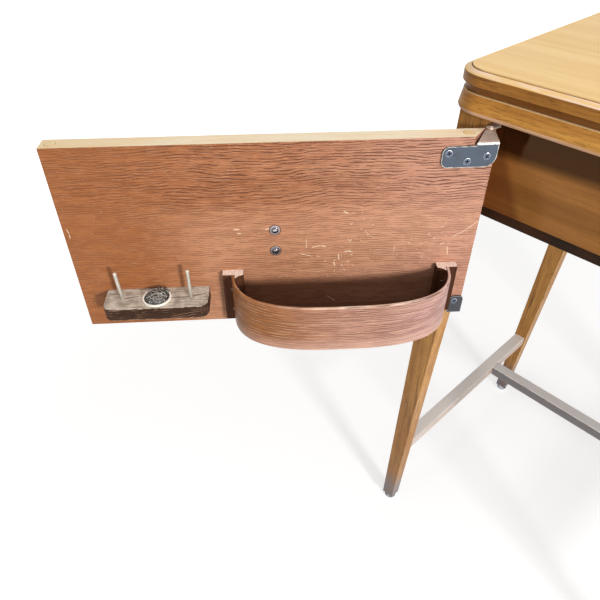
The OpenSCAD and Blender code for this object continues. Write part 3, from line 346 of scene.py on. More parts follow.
def wood(name, light, dark, line, grain=None, lines=0.5, spacing=2.4 * MM, run=0.09, wave=3 * MM, pores=0.35,
         blotch=0.25, patch=None, worn=None, bump=0.5, roughness=0.45, coat=0.0, coat_roughness=0.15,
         gloss=0.35):
    """Wood whose grain runs along X of the coordinates that grain gives.

    light and dark are the broad tones, line the thin grain lines and pores, patch a stain colour and
    worn the colour of the rubbed arrises.
    """
    net = Net(name)
    g = grain(net) if grain else net.places()
    x, y, z = net.parts(g)
    drift = net.noise(g, (7, 24, 24), 2) - 0.5
    slow = net.noise(g, (2.2, 9, 9), 1) - 0.5
    sway = drift * wave + slow * (4 * wave)
    net.grain = g = net.join(x, y + sway, z + sway)
    across = 1 / spacing
    figure = net.noise(g, (1.6, 0.14 * across, 0.14 * across), 4, 0.6)
    thin = net.noise(g, (1 / run, across, across), 3, 0.6).span(0.5, 0.72) * lines
    fine = net.noise(g, (2.4 / run, 3.1 * across, 3.1 * across), 2, 0.6).span(0.48, 0.75) * (0.6 * lines)
    pore = net.noise(g, (9 / run, 5.2 * across, 5.2 * across), 1).span(0.6, 0.72) * pores
    net.tone = net.mix(figure.span(0.32, 0.68), light, dark)
    for share in (thin, fine, pore):
        net.paint(line, share)
    stain = net.cloud(9, 4, 0.6)
    net.paint(patch or dark, stain.span(0.42, 0.72) * blotch)
    if worn:
        net.paint(worn, net.edge() * net.cloud(60, 3).span(0.35, 0.6, 0.35, 0.95))
    net.height = thin + fine + pore
    sheen = stain.span(0.3, 0.8, roughness - 0.07, roughness + 0.08)
    net.set(Roughness=sheen + pore * 0.2, Coat_Weight=coat, Coat_Roughness=coat_roughness,
            Specular_IOR_Level=gloss)
    net.bump(net.height * -1.0, 0.35 * MM, bump)
    return net


def flecks(net, length=14 * MM):
    """Short dark dashes along the grain."""
    spots = net.noise(net.grain, (1 / length, 1 / (0.9 * MM), 1 / (0.9 * MM)), 2)
    return spots.span(0.56, 0.7)


def rim_material():
    """Moulded rim: painted highlight on the bevel, brown flecked face and painted shade in the cove."""
    net = wood("top_edge_wood", (198, 138, 62), (162, 106, 42), (88, 50, 14), grain=along_piece,
               lines=0.55, spacing=1.7 * MM, run=0.035, blotch=0.3, patch=(138, 88, 32), bump=0.25,
               coat=0.05, gloss=0.2)
    _, out, height = net.parts(along_piece(net))
    cove_shade = height.span(RIM_FACE_LOW - 1.2 * MM, RIM_FACE_LOW + 0.4 * MM, 1.0, 0.0)
    bevel = height.span(RIM_OUTER_TOP - 0.5 * MM, RIM_OUTER_TOP + 0.2 * MM)
    seam = out.span(-6.2 * MM, -5.6 * MM, 1.0, 0.0)
    rubbed = net.noise(along_piece(net), (26, 300, 300), 3)
    # The bevel's pale tone is a painted highlight, varied in patches
    bevel_highlight = net.mix(rubbed.span(0.4, 0.62), (250, 208, 138), (255, 224, 196))
    net.paint((84, 48, 14), flecks(net) * 0.6)
    # Painted shade in the cove under the rim's face, then the painted highlight on the bevel
    net.paint((104, 58, 16), cove_shade * 0.7)
    net.paint(bevel_highlight, bevel * 0.93)
    net.paint((112, 62, 30), seam * bevel * 0.92)
    return net


def lipping_material():
    """Edge of the lower leaf: golden face, a light line on its upper arris that is wear and a painted highlight,
    and pale rubbed nose.
    """
    net = wood("leaf_wood", (226, 166, 80), (194, 132, 56), (116, 68, 22), grain=along_piece,
               lines=0.55, spacing=1.8 * MM, run=0.04, patch=(176, 116, 38), bump=0.25, coat=0.05,
               gloss=0.2)
    _, out, height = net.parts(along_piece(net))
    outside = out.span(-3.2 * MM, -2.6 * MM)
    # Light line along the upper arris: wear together with a painted highlight
    line = height.span(LIPPING_TOP - 0.45 * MM, LIPPING_TOP - 0.15 * MM) * outside
    low = height.span(LIPPING_LOW + 3.6 * MM, LIPPING_LOW + 5.0 * MM, 1.0, 0.0)
    nose = low * net.noise(along_piece(net), (30, 260, 260), 3).span(0.3, 0.55, 0.5, 0.95)
    net.paint((112, 64, 12), flecks(net) * 0.5)
    net.paint((255, 220, 168), line * 0.9)
    net.paint((228, 186, 152), nose * outside)
    return net


def leg_material():
    """Legs: golden brown, with the finish worn grey near the floor."""
    net = wood("leg_wood", (212, 156, 84), (178, 122, 58), (88, 50, 18), grain=upright, lines=0.7,
               spacing=2.6 * MM, run=0.07, blotch=0.3, patch=(156, 104, 44), worn=(228, 188, 138),
               bump=0.25, coat=0.08, gloss=0.25)
    height = net.parts(net.places())[2]
    scuff = net.noise(net.places(), (90, 90, 40), 3)
    low = height.span(0.03, 0.1, 1.0, 0.0) * scuff.span(0.3, 0.6, 0.55, 1.0)
    net.paint((92, 52, 18), flecks(net, 20 * MM) * 0.45)
    net.paint((134, 126, 130), low)
    return net


def stretcher_material(name, grain, light, dark):
    """Stretchers: pale grey brown, with painted light on their tops."""
    net = wood(name, light, dark, (130, 108, 96), grain=grain, lines=0.45, spacing=2.0 * MM, run=0.06,
               blotch=0.3, patch=dark, worn=(232, 224, 218), bump=0.3, coat=0.05)
    # Painted light on the up-facing tops
    net.paint((248, 244, 240), net.facing_up() * 0.75)
    return net


def apron_material(name, grain, roughness, gloss, reflection_share):
    """Polished aprons: a painted shadow under the top's overhang, and at the left end a painted dark reflection of
    the door, as strong as the last share given.
    """
    net = wood(name, (174, 119, 62), (142, 95, 48), (90, 50, 20), grain=grain, lines=0.3,
               spacing=3 * MM, run=0.06, pores=0.2, bump=0.05, roughness=roughness, gloss=gloss)
    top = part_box("front_apron")[1].z
    x, _, z = net.parts(net.places())
    level = z + net.noise(net.places(), (5, 5, 30), 2) * 0.012
    reflection_edge = x + level * 0.5
    # Painted dark reflection of the door at the apron's left end
    net.paint((78, 34, 18), reflection_edge.span(0.143, 0.156, reflection_share, 0.0))
    # Painted shadow under the top's overhang
    net.paint((38, 17, 6), level.span(top - 42 * MM, top - 27 * MM, 0.0, 0.93))
    net.set(Specular_Tint=(255, 190.84, 134.41))
    return net


def tray_material():
    """Bent band: pinkish oak with strong lines round it, pale along its rubbed rim and painted shade on its inner
    face.
    """
    net = wood("tray_wood", (196, 150, 131), (174, 127, 108), (100, 56, 42), grain=along_piece,
               spacing=1.7 * MM, run=0.05, wave=1.2 * MM, pores=0.45, blotch=0.18,
               patch=(204, 148, 112), worn=(236, 210, 190), bump=0.6, roughness=0.42, gloss=0.2)
    grain = along_piece(net)
    side = door_plane(net)[0]
    _, depth, below = net.parts(grain)
    drawn = streaks(net, grain, 2.5 * MM, 0.04, 0.24, 0.35, 0.36)
    pale = streaks(net, net.vector("ADD", grain, (0.3, 0.1, 0.2)), 3.9 * MM, 0.03, 0.13, 0.3)
    middle = TRAY_S + 10 * MM
    net.paint((156, 96, 38), side.span(TRAY_S - 0.45 * TRAY_W, middle, 0.9, 0.0))
    net.paint((204, 170, 170), side.span(middle, TRAY_S + TRAY_W / 2, 0.0, 0.5))
    net.paint((92, 48, 32), drawn * 0.72)
    net.paint((240, 202, 166), pale * 0.45)
    net.paint((232, 192, 174), below.span(TRAY_H - 20 * MM, TRAY_H, 0.0, 0.4))
    # Painted shade on the band's inner face
    net.paint((66, 30, 14), depth.span(2.4 * MM, 3.1 * MM) * 0.9)
    net.bump(net.height * -0.6 - drawn, 0.35 * MM, 0.6)
    return net


def tray_block_material():
    """End blocks: dark stained sides and pale end grain on top."""
    net = wood("tray_block_wood", (104, 64, 44), (74, 43, 29), (36, 20, 14), grain=upright,
               blotch=0.4, patch=(56, 32, 22), worn=(190, 158, 140), roughness=0.6, gloss=0.1)
    speckle = net.cloud(420, 3)
    end_grain = net.mix(speckle.span(0.35, 0.7), (250, 232, 220), (224, 198, 184))
    net.paint(end_grain, net.facing_up())
    return net


# Cracks in the spool block's top: start and end (from the door's free edge, out from it) and width, in mm
CRACKS = ((49, 18.2, 66, 15.2, 0.9), (66, 15.2, 70, 14.6, 0.6), (98, 20, 121, 19, 0.8),
          (121, 19, 139, 13.5, 0.9), (30, 8, 48, 13, 0.5), (100, 11, 112, 9, 0.5))


def spool_material():
    """Spool block: weathered grey-brown top with cracks, dark rough sides and chips along the arrises."""
    net = wood("spool_wood", (94, 68, 52), (64, 43, 32), (28, 17, 12), grain=on_door, lines=0.65,
               spacing=2.2 * MM, run=0.018, wave=5 * MM, pores=0.6, blotch=0.5, patch=(66, 42, 32),
               bump=0.9, roughness=0.75, gloss=0.12)
    s, _, deep = door_plane(net)
    cloud = net.cloud(90, 4)
    crack = strokes(s + cloud * (2 * MM), deep * -1.0 + cloud * (3 * MM), CRACKS)
    fine = net.noise(net.grain, (40, 700, 700), 2)
    top = net.mix(cloud.span(0.35, 0.68), (218, 208, 194), (166, 154, 140))
    top = top.toward((122, 106, 92), fine.span(0.48, 0.68, 0.0, 0.65))
    top = top.toward((62, 48, 40), crack * 0.9)
    fibre = streaks(net, on_door(net, math.radians(9)), 3.6 * MM, 0.02, 0.14, 0.6, 0.38)
    chip = net.edge() * net.cloud(210, 3).span(0.42, 0.58)
    net.paint((168, 134, 108), fibre * 0.7)
    net.paint(top, net.facing_up())
    net.paint((214, 198, 178), chip * 0.8)
    net.bump(net.height * -1.0 - crack, 0.5 * MM, 0.7)
    return net


# Long light scratches on the door's inner face: start and end (from its free edge, down) and width, in mm
SCRATCHES = ((402, 112, 414, 105, 0.4), (414, 105, 427, 93, 0.45), (4, 86, 5.6, 92, 0.6),
             (5.6, 92, 5, 98, 0.5), (281, 128, 282, 137, 0.9), (276, 138, 278, 145, 0.9),
             (262, 117, 268, 119, 0.8), (240, 127, 252, 130, 0.5), (252, 119, 262, 117, 0.6),
             (284, 76, 290, 79, 0.8), (390, 121, 396, 119, 0.6), (399, 124, 401, 135, 0.5),
             (270, 186, 280, 194, 0.4), (170.5, 93.5, 178, 93.5, 0.9), (203, 94.5, 210, 94, 1),
             (174, 98.5, 179.5, 98.5, 0.7), (246, 108, 247, 120, 0.4), (288, 125, 297, 127, 0.8))


def door_scratches(net, s, down, side):
    """Small chance marks, thickest round the middle of the door's worn right part, and the long scratches."""
    worn_s, worn_down = side - 0.29, down - 0.125
    spread = worn_s * worn_s * 60.0 + worn_down * worn_down * 300.0
    here = spread.span(0.0, 1.1, 1.0, 0.12) * net.cloud(26, 2).span(0.4, 0.58)
    small = marks(net, s, down, 6.5 * MM, 1.7 * MM, 0.6 * MM, 0.4)
    longer = marks(net, s, down, 21 * MM, 9 * MM, 0.4 * MM, 0.35)
    return small.either(longer) * here, strokes(s, down, SCRATCHES)


def door_edge_tone(net, s, down, deep):
    """The door's pale top edge: golden at its left end, with a ring round each plug."""
    fibres = net.noise(net.grain, (14, 260, 260), 3)
    tone = net.mix(fibres.span(0.4, 0.66), (255, 238, 206), (252, 224, 184))
    tone = tone.toward((240, 206, 150), s.span(0.02, 0.15, 0.6, 0.0))
    for centre in PLUGS_S:
        ring = circle(s - centre, deep - DOOR_T / 2, PLUG_R, 0.25 * MM, 0.6 * MM)
        tone = tone.toward((170, 128, 74), ring * 0.7)
    return tone.toward((52, 34, 24), down.span(0.3 * MM, 0.45 * MM))


def door_material():
    """Open-grained veneer with thin wavy dark lines, boldest near the top, and small light scratches."""
    net = wood("door_wood", (192, 132, 96), (174, 113, 78), (106, 58, 38), grain=on_door,
               spacing=1.9 * MM, run=0.028, wave=1.5 * MM, blotch=0.14, patch=(182, 122, 82),
               worn=(212, 168, 132), bump=0.4, roughness=0.5, coat=0.06, coat_roughness=0.35, gloss=0.3)
    s, down, deep = door_plane(net)
    side = s + (net.noise(on_door(net), (3, 3, 5), 2) - 0.5) * 0.12
    face = abs(deep).span(0.3 * MM, 0.5 * MM, 1.0, 0.0)
    outer = deep.span(DOOR_T - 0.6 * MM, DOOR_T - 0.3 * MM)
    pale = down.span(55 * MM, 95 * MM) * abs(side - 0.25).span(0.08, 0.19, 0.38, 0.0)
    net.paint((158, 94, 42), side.span(0.02, 0.33, 0.75, 0.0))
    # Pinker and paler towards the hinge side: partly the veneer's own tone, partly a painted sheen
    net.paint((208, 160, 142), side.span(0.2, 0.42, 0.0, 0.5))
    net.paint((226, 172, 138), pale)
    net.paint((164, 108, 54), outer * 0.7)

    bold_here = down.span(45 * MM, 92 * MM, 1.0, 0.25) * side.span(0.0, 0.17, 0.35, 1.0)
    bold = streaks(net, net.grain, 3.1 * MM, 0.034, 0.21, 0.9, 0.34) * bold_here
    second = streaks(net, net.vector("ADD", net.grain, (0.7, 0.31, 0.17)), 2.2 * MM, 0.02, 0.26, 0.45, 0.36)
    light = streaks(net, net.vector("ADD", net.grain, (0.2, 0.9, 0.4)), 2.9 * MM, 0.014, 0.18, 0.5)
    net.paint((80, 40, 26), bold * 0.88)
    net.paint((106, 60, 36), second * 0.58)
    # Pale streaks beside the dark lines, laid on as painted highlights
    net.paint((228, 180, 146), light * side.span(0.0, 0.2, 0.12, 0.3))

    # Painted shadow of the tray's band on the door's face inside the tray; the small scratches are left out there
    tray_shadow = down.span(148 * MM, 170 * MM) * abs(s - TRAY_S).span(106 * MM, 114 * MM, 1.0, 0.0) * face
    net.paint((84, 40, 14), tray_shadow * 0.55)
    small, long = door_scratches(net, s, down, side)
    net.paint((250, 224, 196), (small * (1.0 - tray_shadow)).either(long) * face * 0.85)
    # A dark ring round each washer: painted contact shadow and grime
    rings = [circle(s - BOLTS_S, down - level, 5.7 * MM, 0.3 * MM, 1.0 * MM) for level in BOLTS_DOWN]
    net.paint((66, 38, 26), largest(rings) * face * 0.75)
    net.paint(door_edge_tone(net, s, down, deep), net.facing_up())
    net.bump(net.height * -0.5 - bold - second * 0.3, 0.35 * MM, 0.6)
    return net


# Woods
field_wood = wood("field_veneer", (254, 215, 142), (245, 200, 121), (212, 158, 80), lines=0.18,
                  spacing=3 * MM, run=0.16, pores=0.1, blotch=0.12, patch=(234, 196, 140),
                  worn=(252, 232, 190), bump=0.08, roughness=0.42, coat=0.1, coat_roughness=0.3)
leaf_board = wood("leaf_board", (206, 150, 78), (172, 116, 52), (112, 66, 28), lines=0.4, run=0.12,
                  bump=0.2, roughness=0.42, coat=0.2)
dark_wood = wood("dark_rail", (54, 40, 30), (32, 24, 18), (14, 10, 8), blotch=0.4,
                 patch=(92, 54, 30), bump=0.3, roughness=0.5, gloss=0.1)
plain_wood = wood("plain_wood", (214, 180, 134), (190, 150, 104), (140, 100, 62), lines=0.4,
                  bump=0.4, roughness=0.7)
pull_wood = wood("pull_wood", (190, 132, 74), (150, 96, 48), (96, 56, 26), grain=upright, lines=0.4,
                 bump=0.2, roughness=0.36, coat=0.4)
plug_wood = wood("plug_wood", (252, 228, 180), (240, 208, 152), (196, 158, 104), grain=upright,
                 lines=0.3, bump=0.3, roughness=0.6)
# The tray's bottom is made very dark as painted shade inside the tray
tray_bottom_shaded_wood = wood("tray_bottom_shaded_wood", (92, 54, 30), (70, 38, 20), (40, 20, 10), grain=on_door,
                        lines=0.4, bump=0.4, roughness=0.6)
rim_wood = rim_material()
lipping_wood = lipping_material()
leg_wood = leg_material()
apron_wood = apron_material("apron_veneer", None, 0.13, 0.38, 0.5)
side_apron_wood = apron_material("side_apron_veneer", front_to_back, 0.38, 0.15, 0.0)
stretcher_wood = stretcher_material("stretcher_wood", front_to_back, (230, 216, 206), (206, 188, 176))
# The centre stretcher's darker, greyer tone is painted shade on its front, which faces away from the key light
shaded_centre_wood = stretcher_material("centre_stretcher_wood", None, (138, 135, 138), (115, 112, 114))
door_wood = door_material()
tray_wood = tray_material()
tray_block_wood = tray_block_material()
spool_wood = spool_material()


def metal(name, colour, worn, roughness=0.35, metallic=0.9, grime=0.25, dirt=(60, 50, 44), rub=0.0):
    """Metal with faint cloudy grime and bright rubbed arrises, which rub leaves duller in places."""
    net = Net(name, Metallic=metallic)
    cloud = net.cloud(120, 4, 0.6)
    net.tone = net.mix(cloud.span(0.45, 0.7) * grime, colour, dirt)
    net.paint(worn, net.edge() * net.cloud(300, 2).span(0.35, 0.6, 1.0 - rub, 1.0) * 0.95)
    net.paint((26, 24, 26), net.attribute("hollow"))
    net.set(Roughness=cloud.span(0.3, 0.75, roughness - 0.08, roughness + 0.12))
    net.bump(net.cloud(900, 2), 0.03 * MM, 0.3)
    return net


def top_hinge_material():
    """Blued plate whose bent-over end is painted pale brown, partly rubbed metal and partly a painted reflection
    of the wood, with a painted highlight along the bend.
    """
    blued = 0.7
    net = metal("top_hinge_steel", (76, 86, 98), (228, 224, 216), 0.36, blued, rub=0.7)
    s, down, _ = door_plane(net)
    bent = down.span(5.2 * MM, 6.6 * MM, 1.0, 0.0)
    bend = abs(down - 6.4 * MM).span(0.2 * MM, 0.9 * MM, 0.85, 0.0)
    # Pale brown on the bent-over end: rubbed metal and a painted reflection of the wood
    net.paint(net.mix(net.cloud(60, 3).span(0.35, 0.65), (214, 198, 188), (180, 162, 152)), bent)
    # Painted highlight along the bend
    net.paint((236, 230, 222), bend * s.span(DOOR_W - 22 * MM, DOOR_W - 20 * MM))
    net.set(Metallic=blued - bent * 0.45)
    return net


def cup_material():
    """Off-white plastic, a little dusty."""
    net = Net("cup_plastic", Coat_Weight=0.3, Coat_Roughness=0.1)
    dust = net.cloud(260, 3)
    net.set(Base_Color=net.mix(dust.span(0.45, 0.75, 0.0, 0.5), (255, 254, 246), (228, 220, 204)),
            Roughness=dust.span(0.3, 0.7, 0.3, 0.45))
    net.bump(dust, 0.05 * MM, 0.2)
    return net


# Metals and plastic
hinge_steel = metal("hinge_steel", (72, 74, 80), (176, 178, 180), 0.36, 0.7, rub=0.5)
nail_steel = metal("nail_steel", (112, 100, 92), (190, 186, 180), 0.36, 0.8, grime=0.5)
top_hinge_steel = top_hinge_material()
bright_steel = metal("bright_steel", (204, 192, 182), (226, 222, 216), 0.38, 0.7)
screw_steel = metal("screw_steel", (98, 108, 126), (214, 218, 226), 0.3, 0.8, grime=0.35)
bolt_steel = metal("bolt_steel", (104, 98, 102), (196, 196, 200), 0.24, 0.95, grime=0.6)
washer_steel = metal("washer_steel", (178, 168, 170), (226, 222, 222), 0.38, 0.8, grime=0.5)
brass = metal("brass", (206, 168, 92), (232, 206, 140), 0.3, grime=0.35)
iron = metal("machine_hinge_iron", (92, 94, 98), (160, 160, 162), 0.45)
pin_metal = metal("spool_pin_metal", (206, 202, 190), (246, 242, 232), 0.4, 0.6, grime=0.3,
                  dirt=(120, 116, 104))
chrome = metal("glide_chrome", (226, 228, 232), (240, 240, 242), 0.2, 0.85, grime=0.2)
# Wire wool: its pale second colour, laid on the wires that wool() marks, is a painted glint
wire = metal("wire_wool", (64, 63, 59), (240, 240, 236), 0.3, 0.4, grime=0.6, dirt=(30, 28, 28))
cup_plastic = cup_material()


def cover(mesh, net):
    """Gives a mesh its material and its shading."""
    mesh.materials.clear()
    mesh.materials.append(net.material)
    mesh.shade_smooth()
    mesh.set_sharp_from_angle(angle=SMOOTH)


def finish(obj, net, node):
    """Covers a new piece, gives it its body, and hides the node that it stands for."""
    cover(obj.data, net)
    obj.modifiers.new("normals", "WEIGHTED_NORMAL").keep_sharp = True
    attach(obj, body_of[node])
    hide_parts(node)
    return obj


def new_object(name, bm):
    """Puts a mesh into the scene."""
    mesh = bpy.data.meshes.new(name)
    bm.to_mesh(mesh)
    bm.free()
    obj = bpy.data.objects.new(name, mesh)
    bpy.context.scene.collection.objects.link(obj)
    return obj


def new_piece(name, bm, net, node):
    """A piece with a shape of its own, all its faces turned outwards, in place of a node."""
    bmesh.ops.recalc_face_normals(bm, faces=bm.faces)
    return finish(new_object(name, bm), net, node)


def node_mesh(node):
    """A CAD node's mesh, with the points that lie together joined."""
    bm = bmesh.new()
    bm.from_mesh(nodes[node].data)
    bmesh.ops.remove_doubles(bm, verts=bm.verts, dist=SAME_POINT)
    return bm


def solids(node):
    """The corner points of each separate solid in a CAD node, in a fixed order."""
    bm = node_mesh(node)
    left = set(bm.verts)
    found = []
    while left:
        group, reach = [], [left.pop()]
        while reach:
            vert = reach.pop()
            group.append(vert)
            for edge in vert.link_edges:
                other = edge.other_vert(vert)
                if other in left:
                    left.discard(other)
                    reach.append(other)
        found.append(np.array([v.co for v in group]))
    bm.free()
    return sorted(found, key=lambda points: tuple(np.round(points.mean(axis=0), 4)))


def add_border(bm, mark, facing, width):
    """Marks a border of this width on the flat faces that look along facing, but not round screw holes."""
    flat = [f for f in bm.faces if f.normal.dot(facing) > 0.999 and not f[mark]]
    holes = [Vector(points.mean(axis=0)) for points in solids("door_hinge_screws")]
    for face in bmesh.ops.inset_region(bm, faces=flat, thickness=width, use_even_offset=True)["faces"]:
        ways = [face.calc_center_median() - hole for hole in holes]
        near = min((way - way.dot(facing) * facing).length for way in ways)
        face[mark] = 0.8 if near > HOLE_CLEAR else 0.0


def soften(node, width, net, segments=2, border=0.0):
    """The CAD node's own shape with its arrises rounded, as a new piece. width and border are in mm.

    Rounded faces carry edge = 1.
    """
    bm = node_mesh(node)
    bmesh.ops.dissolve_limit(bm, angle_limit=math.radians(0.4), verts=bm.verts, edges=bm.edges)
    mark = bm.faces.layers.float.new("edge")
    sharp = [e for e in bm.edges if len(e.link_faces) == 2 and e.calc_face_angle(0) > ARRIS]
    made = bmesh.ops.bevel(bm, geom=sharp, offset=width * MM, offset_type="OFFSET", segments=segments,
                           profile=0.5, affect="EDGES", clamp_overlap=True, loop_slide=True)
    for face in made["faces"]:
        face[mark] = 1.0
    if border:
        add_border(bm, mark, door_normal, border * MM)
    return finish(new_object(node + ("_metal" if "hinge" in node else "_wood"), bm), net, node)


def dress(net, *names):
    """A CAD node whose shape is right keeps it and gets this material."""
    for name in names:
        cover(nodes[name].data, net)


def way_round(x, y, w, d, r):
    """The way round a rounded rectangle to its point nearest (x, y), how far out, and the whole way."""
    long_x, long_y, quarter = w - 2 * r, d - 2 * r, math.pi * r / 2
    qx, qy = max(abs(x) - long_x / 2, 0.0), max(abs(y) - long_y / 2, 0.0)
    out = math.hypot(qx, qy) - r
    turn = math.atan2(qy, qx) if qx or qy else (0 if abs(x) / w > abs(y) / d else math.pi / 2)
    side_y = min(abs(y), long_y / 2)
    side_x = long_x / 2 - min(abs(x), long_x / 2)
    way = side_y + turn * r + side_x
    half = long_y / 2 + quarter + long_x / 2
    if x < 0:
        way = 2 * half - way
    if y < 0:
        way = 4 * half - way
    return way, out, 4 * half


def trace_ring(obj):
    """Stores grain coordinates that follow the top's outline on obj's face corners."""
    mesh = obj.data
    grain = mesh.attributes.new("grain", "FLOAT_VECTOR", "CORNER")
    for face in mesh.polygons:
        middle, _, whole = way_round(face.center.x, face.center.y, TOP_W, TOP_D, TOP_R)
        for i in face.loop_indices:
            x, y, z = mesh.vertices[mesh.loops[i].vertex_index].co
            way, out, _ = way_round(x, y, TOP_W, TOP_D, TOP_R)
            way += whole * round((middle - way) / whole)
            grain.data[i].vector = (way, out, z)


def local_frame(place, normal):
    """Matrix whose Z runs along normal and whose origin is place."""
    z = Vector(normal).normalized()
    x = UP.cross(z) if abs(z.z) < 0.9 else Vector((1, 0, 0))
    x = (x - x.dot(z) * z).normalized()
    return Matrix.Translation(Vector(place)) @ Matrix((x, z.cross(x), z)).transposed().to_4x4()


def round_points(radius, count):
    """Evenly spaced points (x, y) of a circle."""
    return [(radius * math.cos(math.tau * i / count), radius * math.sin(math.tau * i / count))
            for i in range(count)]


def skin(bm, rings, steps):
    """Faces between rings of points one after the other. A ring may be a single point."""
    for a, b in zip(rings, rings[1:]):
        for i in range(steps):
            j = (i + 1) % steps
            corners = [a[i % len(a)], a[j % len(a)], b[j % len(b)], b[i % len(b)]]
            face = list(dict.fromkeys(corners))
            if len(face) > 2:
                bm.faces.new(face)


def lathe(bm, base, profile, steps=40, open_first=False, open_last=False):
    """Turns a profile of (radius, height) points in mm round Z of base. A radius of 0 makes one point."""
    rings = [[bm.verts.new(base @ Vector((x, y, height * MM)))
              for x, y in (round_points(radius * MM, steps) if radius else [(0, 0)])]
             for radius, height in profile]
    skin(bm, rings, steps)
    for ring, is_open in ((rings[0], open_first), (rings[-1], open_last)):
        if len(ring) > 1 and not is_open:
            bm.faces.new(ring)
    return rings


def cross_outline(arm, width):
    """The corners of a cross, by the reach and the width of its arms."""
    w = width / 2
    points = []
    for turn in range(4):
        for x, y in ((arm, -w), (arm, w), (w, w)):
            for _ in range(turn):
                x, y = -y, x
            points.append((x, y))
    return points


def cross_screw(bm, base, head_r, head_h, shank_r, length):
    """Countersunk screw with a cross recess, in mm. Its face lies at base, whose Z points out of it."""
    hollow, bright = (bm.faces.layers.float[name] for name in ("hollow", "edge"))
    profile = [(head_r - 0.45, 0), (head_r, -0.2), (shank_r, -head_h), (shank_r, -length), (0, -length)]
    rings = lathe(bm, base, profile, open_first=True)
    edges = []
    for i in range(len(rings[0])):
        j = (i + 1) % len(rings[0])
        bm.faces.get((rings[0][i], rings[0][j], rings[1][j], rings[1][i]))[bright] = 0.9
        edges.append(bm.edges.get((rings[0][i], rings[0][j])))
    head_r *= MM
    outline = cross_outline(0.62 * head_r, 0.27 * head_r)
    top = [bm.verts.new(base @ Vector((x, y, 0))) for x, y in outline]
    low = [bm.verts.new(base @ Vector((0.72 * x, 0.72 * y, -0.3 * head_r))) for x, y in outline]
    centre = bm.verts.new(base @ Vector((0, 0, -0.4 * head_r)))
    for i in range(len(outline)):
        j = (i + 1) % len(outline)
        bm.faces.new((top[i], top[j], low[j], low[i]))[hollow] = 1.0
        bm.faces.new((low[i], low[j], centre))[hollow] = 1.0
        edges.append(bm.edges.get((top[i], top[j])))
    bmesh.ops.triangle_fill(bm, use_beauty=True, edges=edges)


def screws(node, net, seed):
    """Countersunk cross-head screws in place of a CAD node's plain ones, each measured from its own solid."""
    chance = random.Random(seed)
    bm = bmesh.new()
    for name in ("hollow", "edge"):
        bm.faces.layers.float.new(name)
    for points in solids(node):
        middle = (points.min(axis=0) + points.max(axis=0)) / 2
        axis = np.linalg.svd(points - points.mean(axis=0), full_matrices=False)[2][0]
        way = (points - middle) @ axis
        off = np.linalg.norm(points - middle - np.outer(way, axis), axis=1)
        if off[way > way.max() - 0.05 * MM].max() < off[way < way.min() + 0.05 * MM].max():
            axis, way = -axis, -way
        shank = off[way < way.min() + 0.05 * MM].max()
        neck = way[off < shank + 0.05 * MM].max()
        base = local_frame(middle + axis * way.max(), axis)
        sizes = (off.max(), way.max() - neck, shank, way.max() - way.min())
        cross_screw(bm, base @ Matrix.Rotation(chance.uniform(0, math.pi / 2), 4, "Z"),
                    *(size / MM for size in sizes))
    new_piece(node + "_cross", bm, net, node)


def bolts_and_washers():
    """Domed heads of the pull's bolts, and their washers."""
    bolts, washers = bmesh.new(), bmesh.new()
    mark = bolts.faces.layers.float.new("edge")
    washer_t = 0.7
    dome = [(0, 1.3), (1.1, 1.26), (2.1, 1.08), (3.0, 0.74), (3.55, 0.36), (3.75, 0.05), (3.7, 0), (2, 0)]
    ring = [(2.1, 0), (5.5, 0), (5.5, 0.42), (5.2, 0.66), (4.8, washer_t), (2.1, washer_t), (2.1, 0)]
    for down in BOLTS_DOWN:
        place = local_frame(door_point(BOLTS_S, 0, down), door_normal)
        base = place @ Matrix.Translation((0, 0, washer_t * MM))
        lathe(bolts, base, dome + [(2, -31), (0, -31)])
        lathe(washers, place, ring, 48, True, True)
    for face in bolts.faces:
        level = (face.calc_center_median() - door_point(BOLTS_S, washer_t * MM, 0)).dot(door_normal)
        face[mark] = 0.8 if level > 1.0 * MM else 0.0
    bmesh.ops.remove_doubles(washers, verts=washers.verts, dist=0.01 * MM)
    new_piece("pull_bolts_domed", bolts, bolt_steel, "pull_bolts")
    new_piece("pull_washers_round", washers, washer_steel, "pull_washers")


def spool_pins():
    """Spool pins, cut square with a bright burr at the top."""
    bm = bmesh.new()
    mark = bm.faces.layers.float.new("edge")
    profile = [(0, 35), (1.55, 35), (1.85, 34.7), (1.9, 34.2), (1.88, 20), (1.9, 0.4), (1.9, 0), (1.7, 0),
               (1.7, -8.9), (0, -8.9)]
    for side, lean in ((-36.5 * MM, -0.045), (36.5 * MM, 0.01)):
        foot = door_point(SPOOL_S + side, SPOOL_OUT, SPOOL_DOWN)
        lathe(bm, local_frame(foot, UP + lean * door_along), profile, 32)
    top = max(v.co.z for v in bm.verts)
    for face in bm.faces:
        face[mark] = 1.0 if face.calc_center_median().z > top - 0.9 * MM else 0.0
    new_piece("spool_pins_turned", bm, pin_metal, "spool_pins")


def cup():
    """The round cup let into the spool block."""
    bm = bmesh.new()
    base = local_frame(door_point(SPOOL_S, SPOOL_OUT, SPOOL_DOWN + 9 * MM), UP)
    lathe(bm, base, [(0, 0), (15.2, 0), (15.5, 0.3), (15.5, 9.9), (15.35, 10.4), (14.9, 10.6), (14.3, 10.6),
                     (13.65, 10.45), (13.3, 10), (13.3, 1.9), (12.9, 1.5), (0, 1.5)], 72)
    new_piece("pin_cup_moulded", bm, cup_plastic, "pin_cup")


def tube(bm, points, radius, sides=5):
    """A round wire through points, closed at both ends. Returns its faces."""
    rings = []
    for i, point in enumerate(points):
        ahead = (points[min(i + 1, len(points) - 1)] - points[max(i - 1, 0)]).normalized()
        across = ahead.orthogonal().normalized()
        if rings:
            across = (last - last.dot(ahead) * ahead).normalized()
        last = across
        beside = ahead.cross(across)
        rings.append([bm.verts.new(point + x * across + y * beside) for x, y in round_points(radius, sides)])
    faces = [bm.faces.new((a[k], a[(k + 1) % sides], b[(k + 1) % sides], b[k]))
             for a, b in zip(rings, rings[1:]) for k in range(sides)]
    return faces + [bm.faces.new(rings[0]), bm.faces.new(rings[-1])]


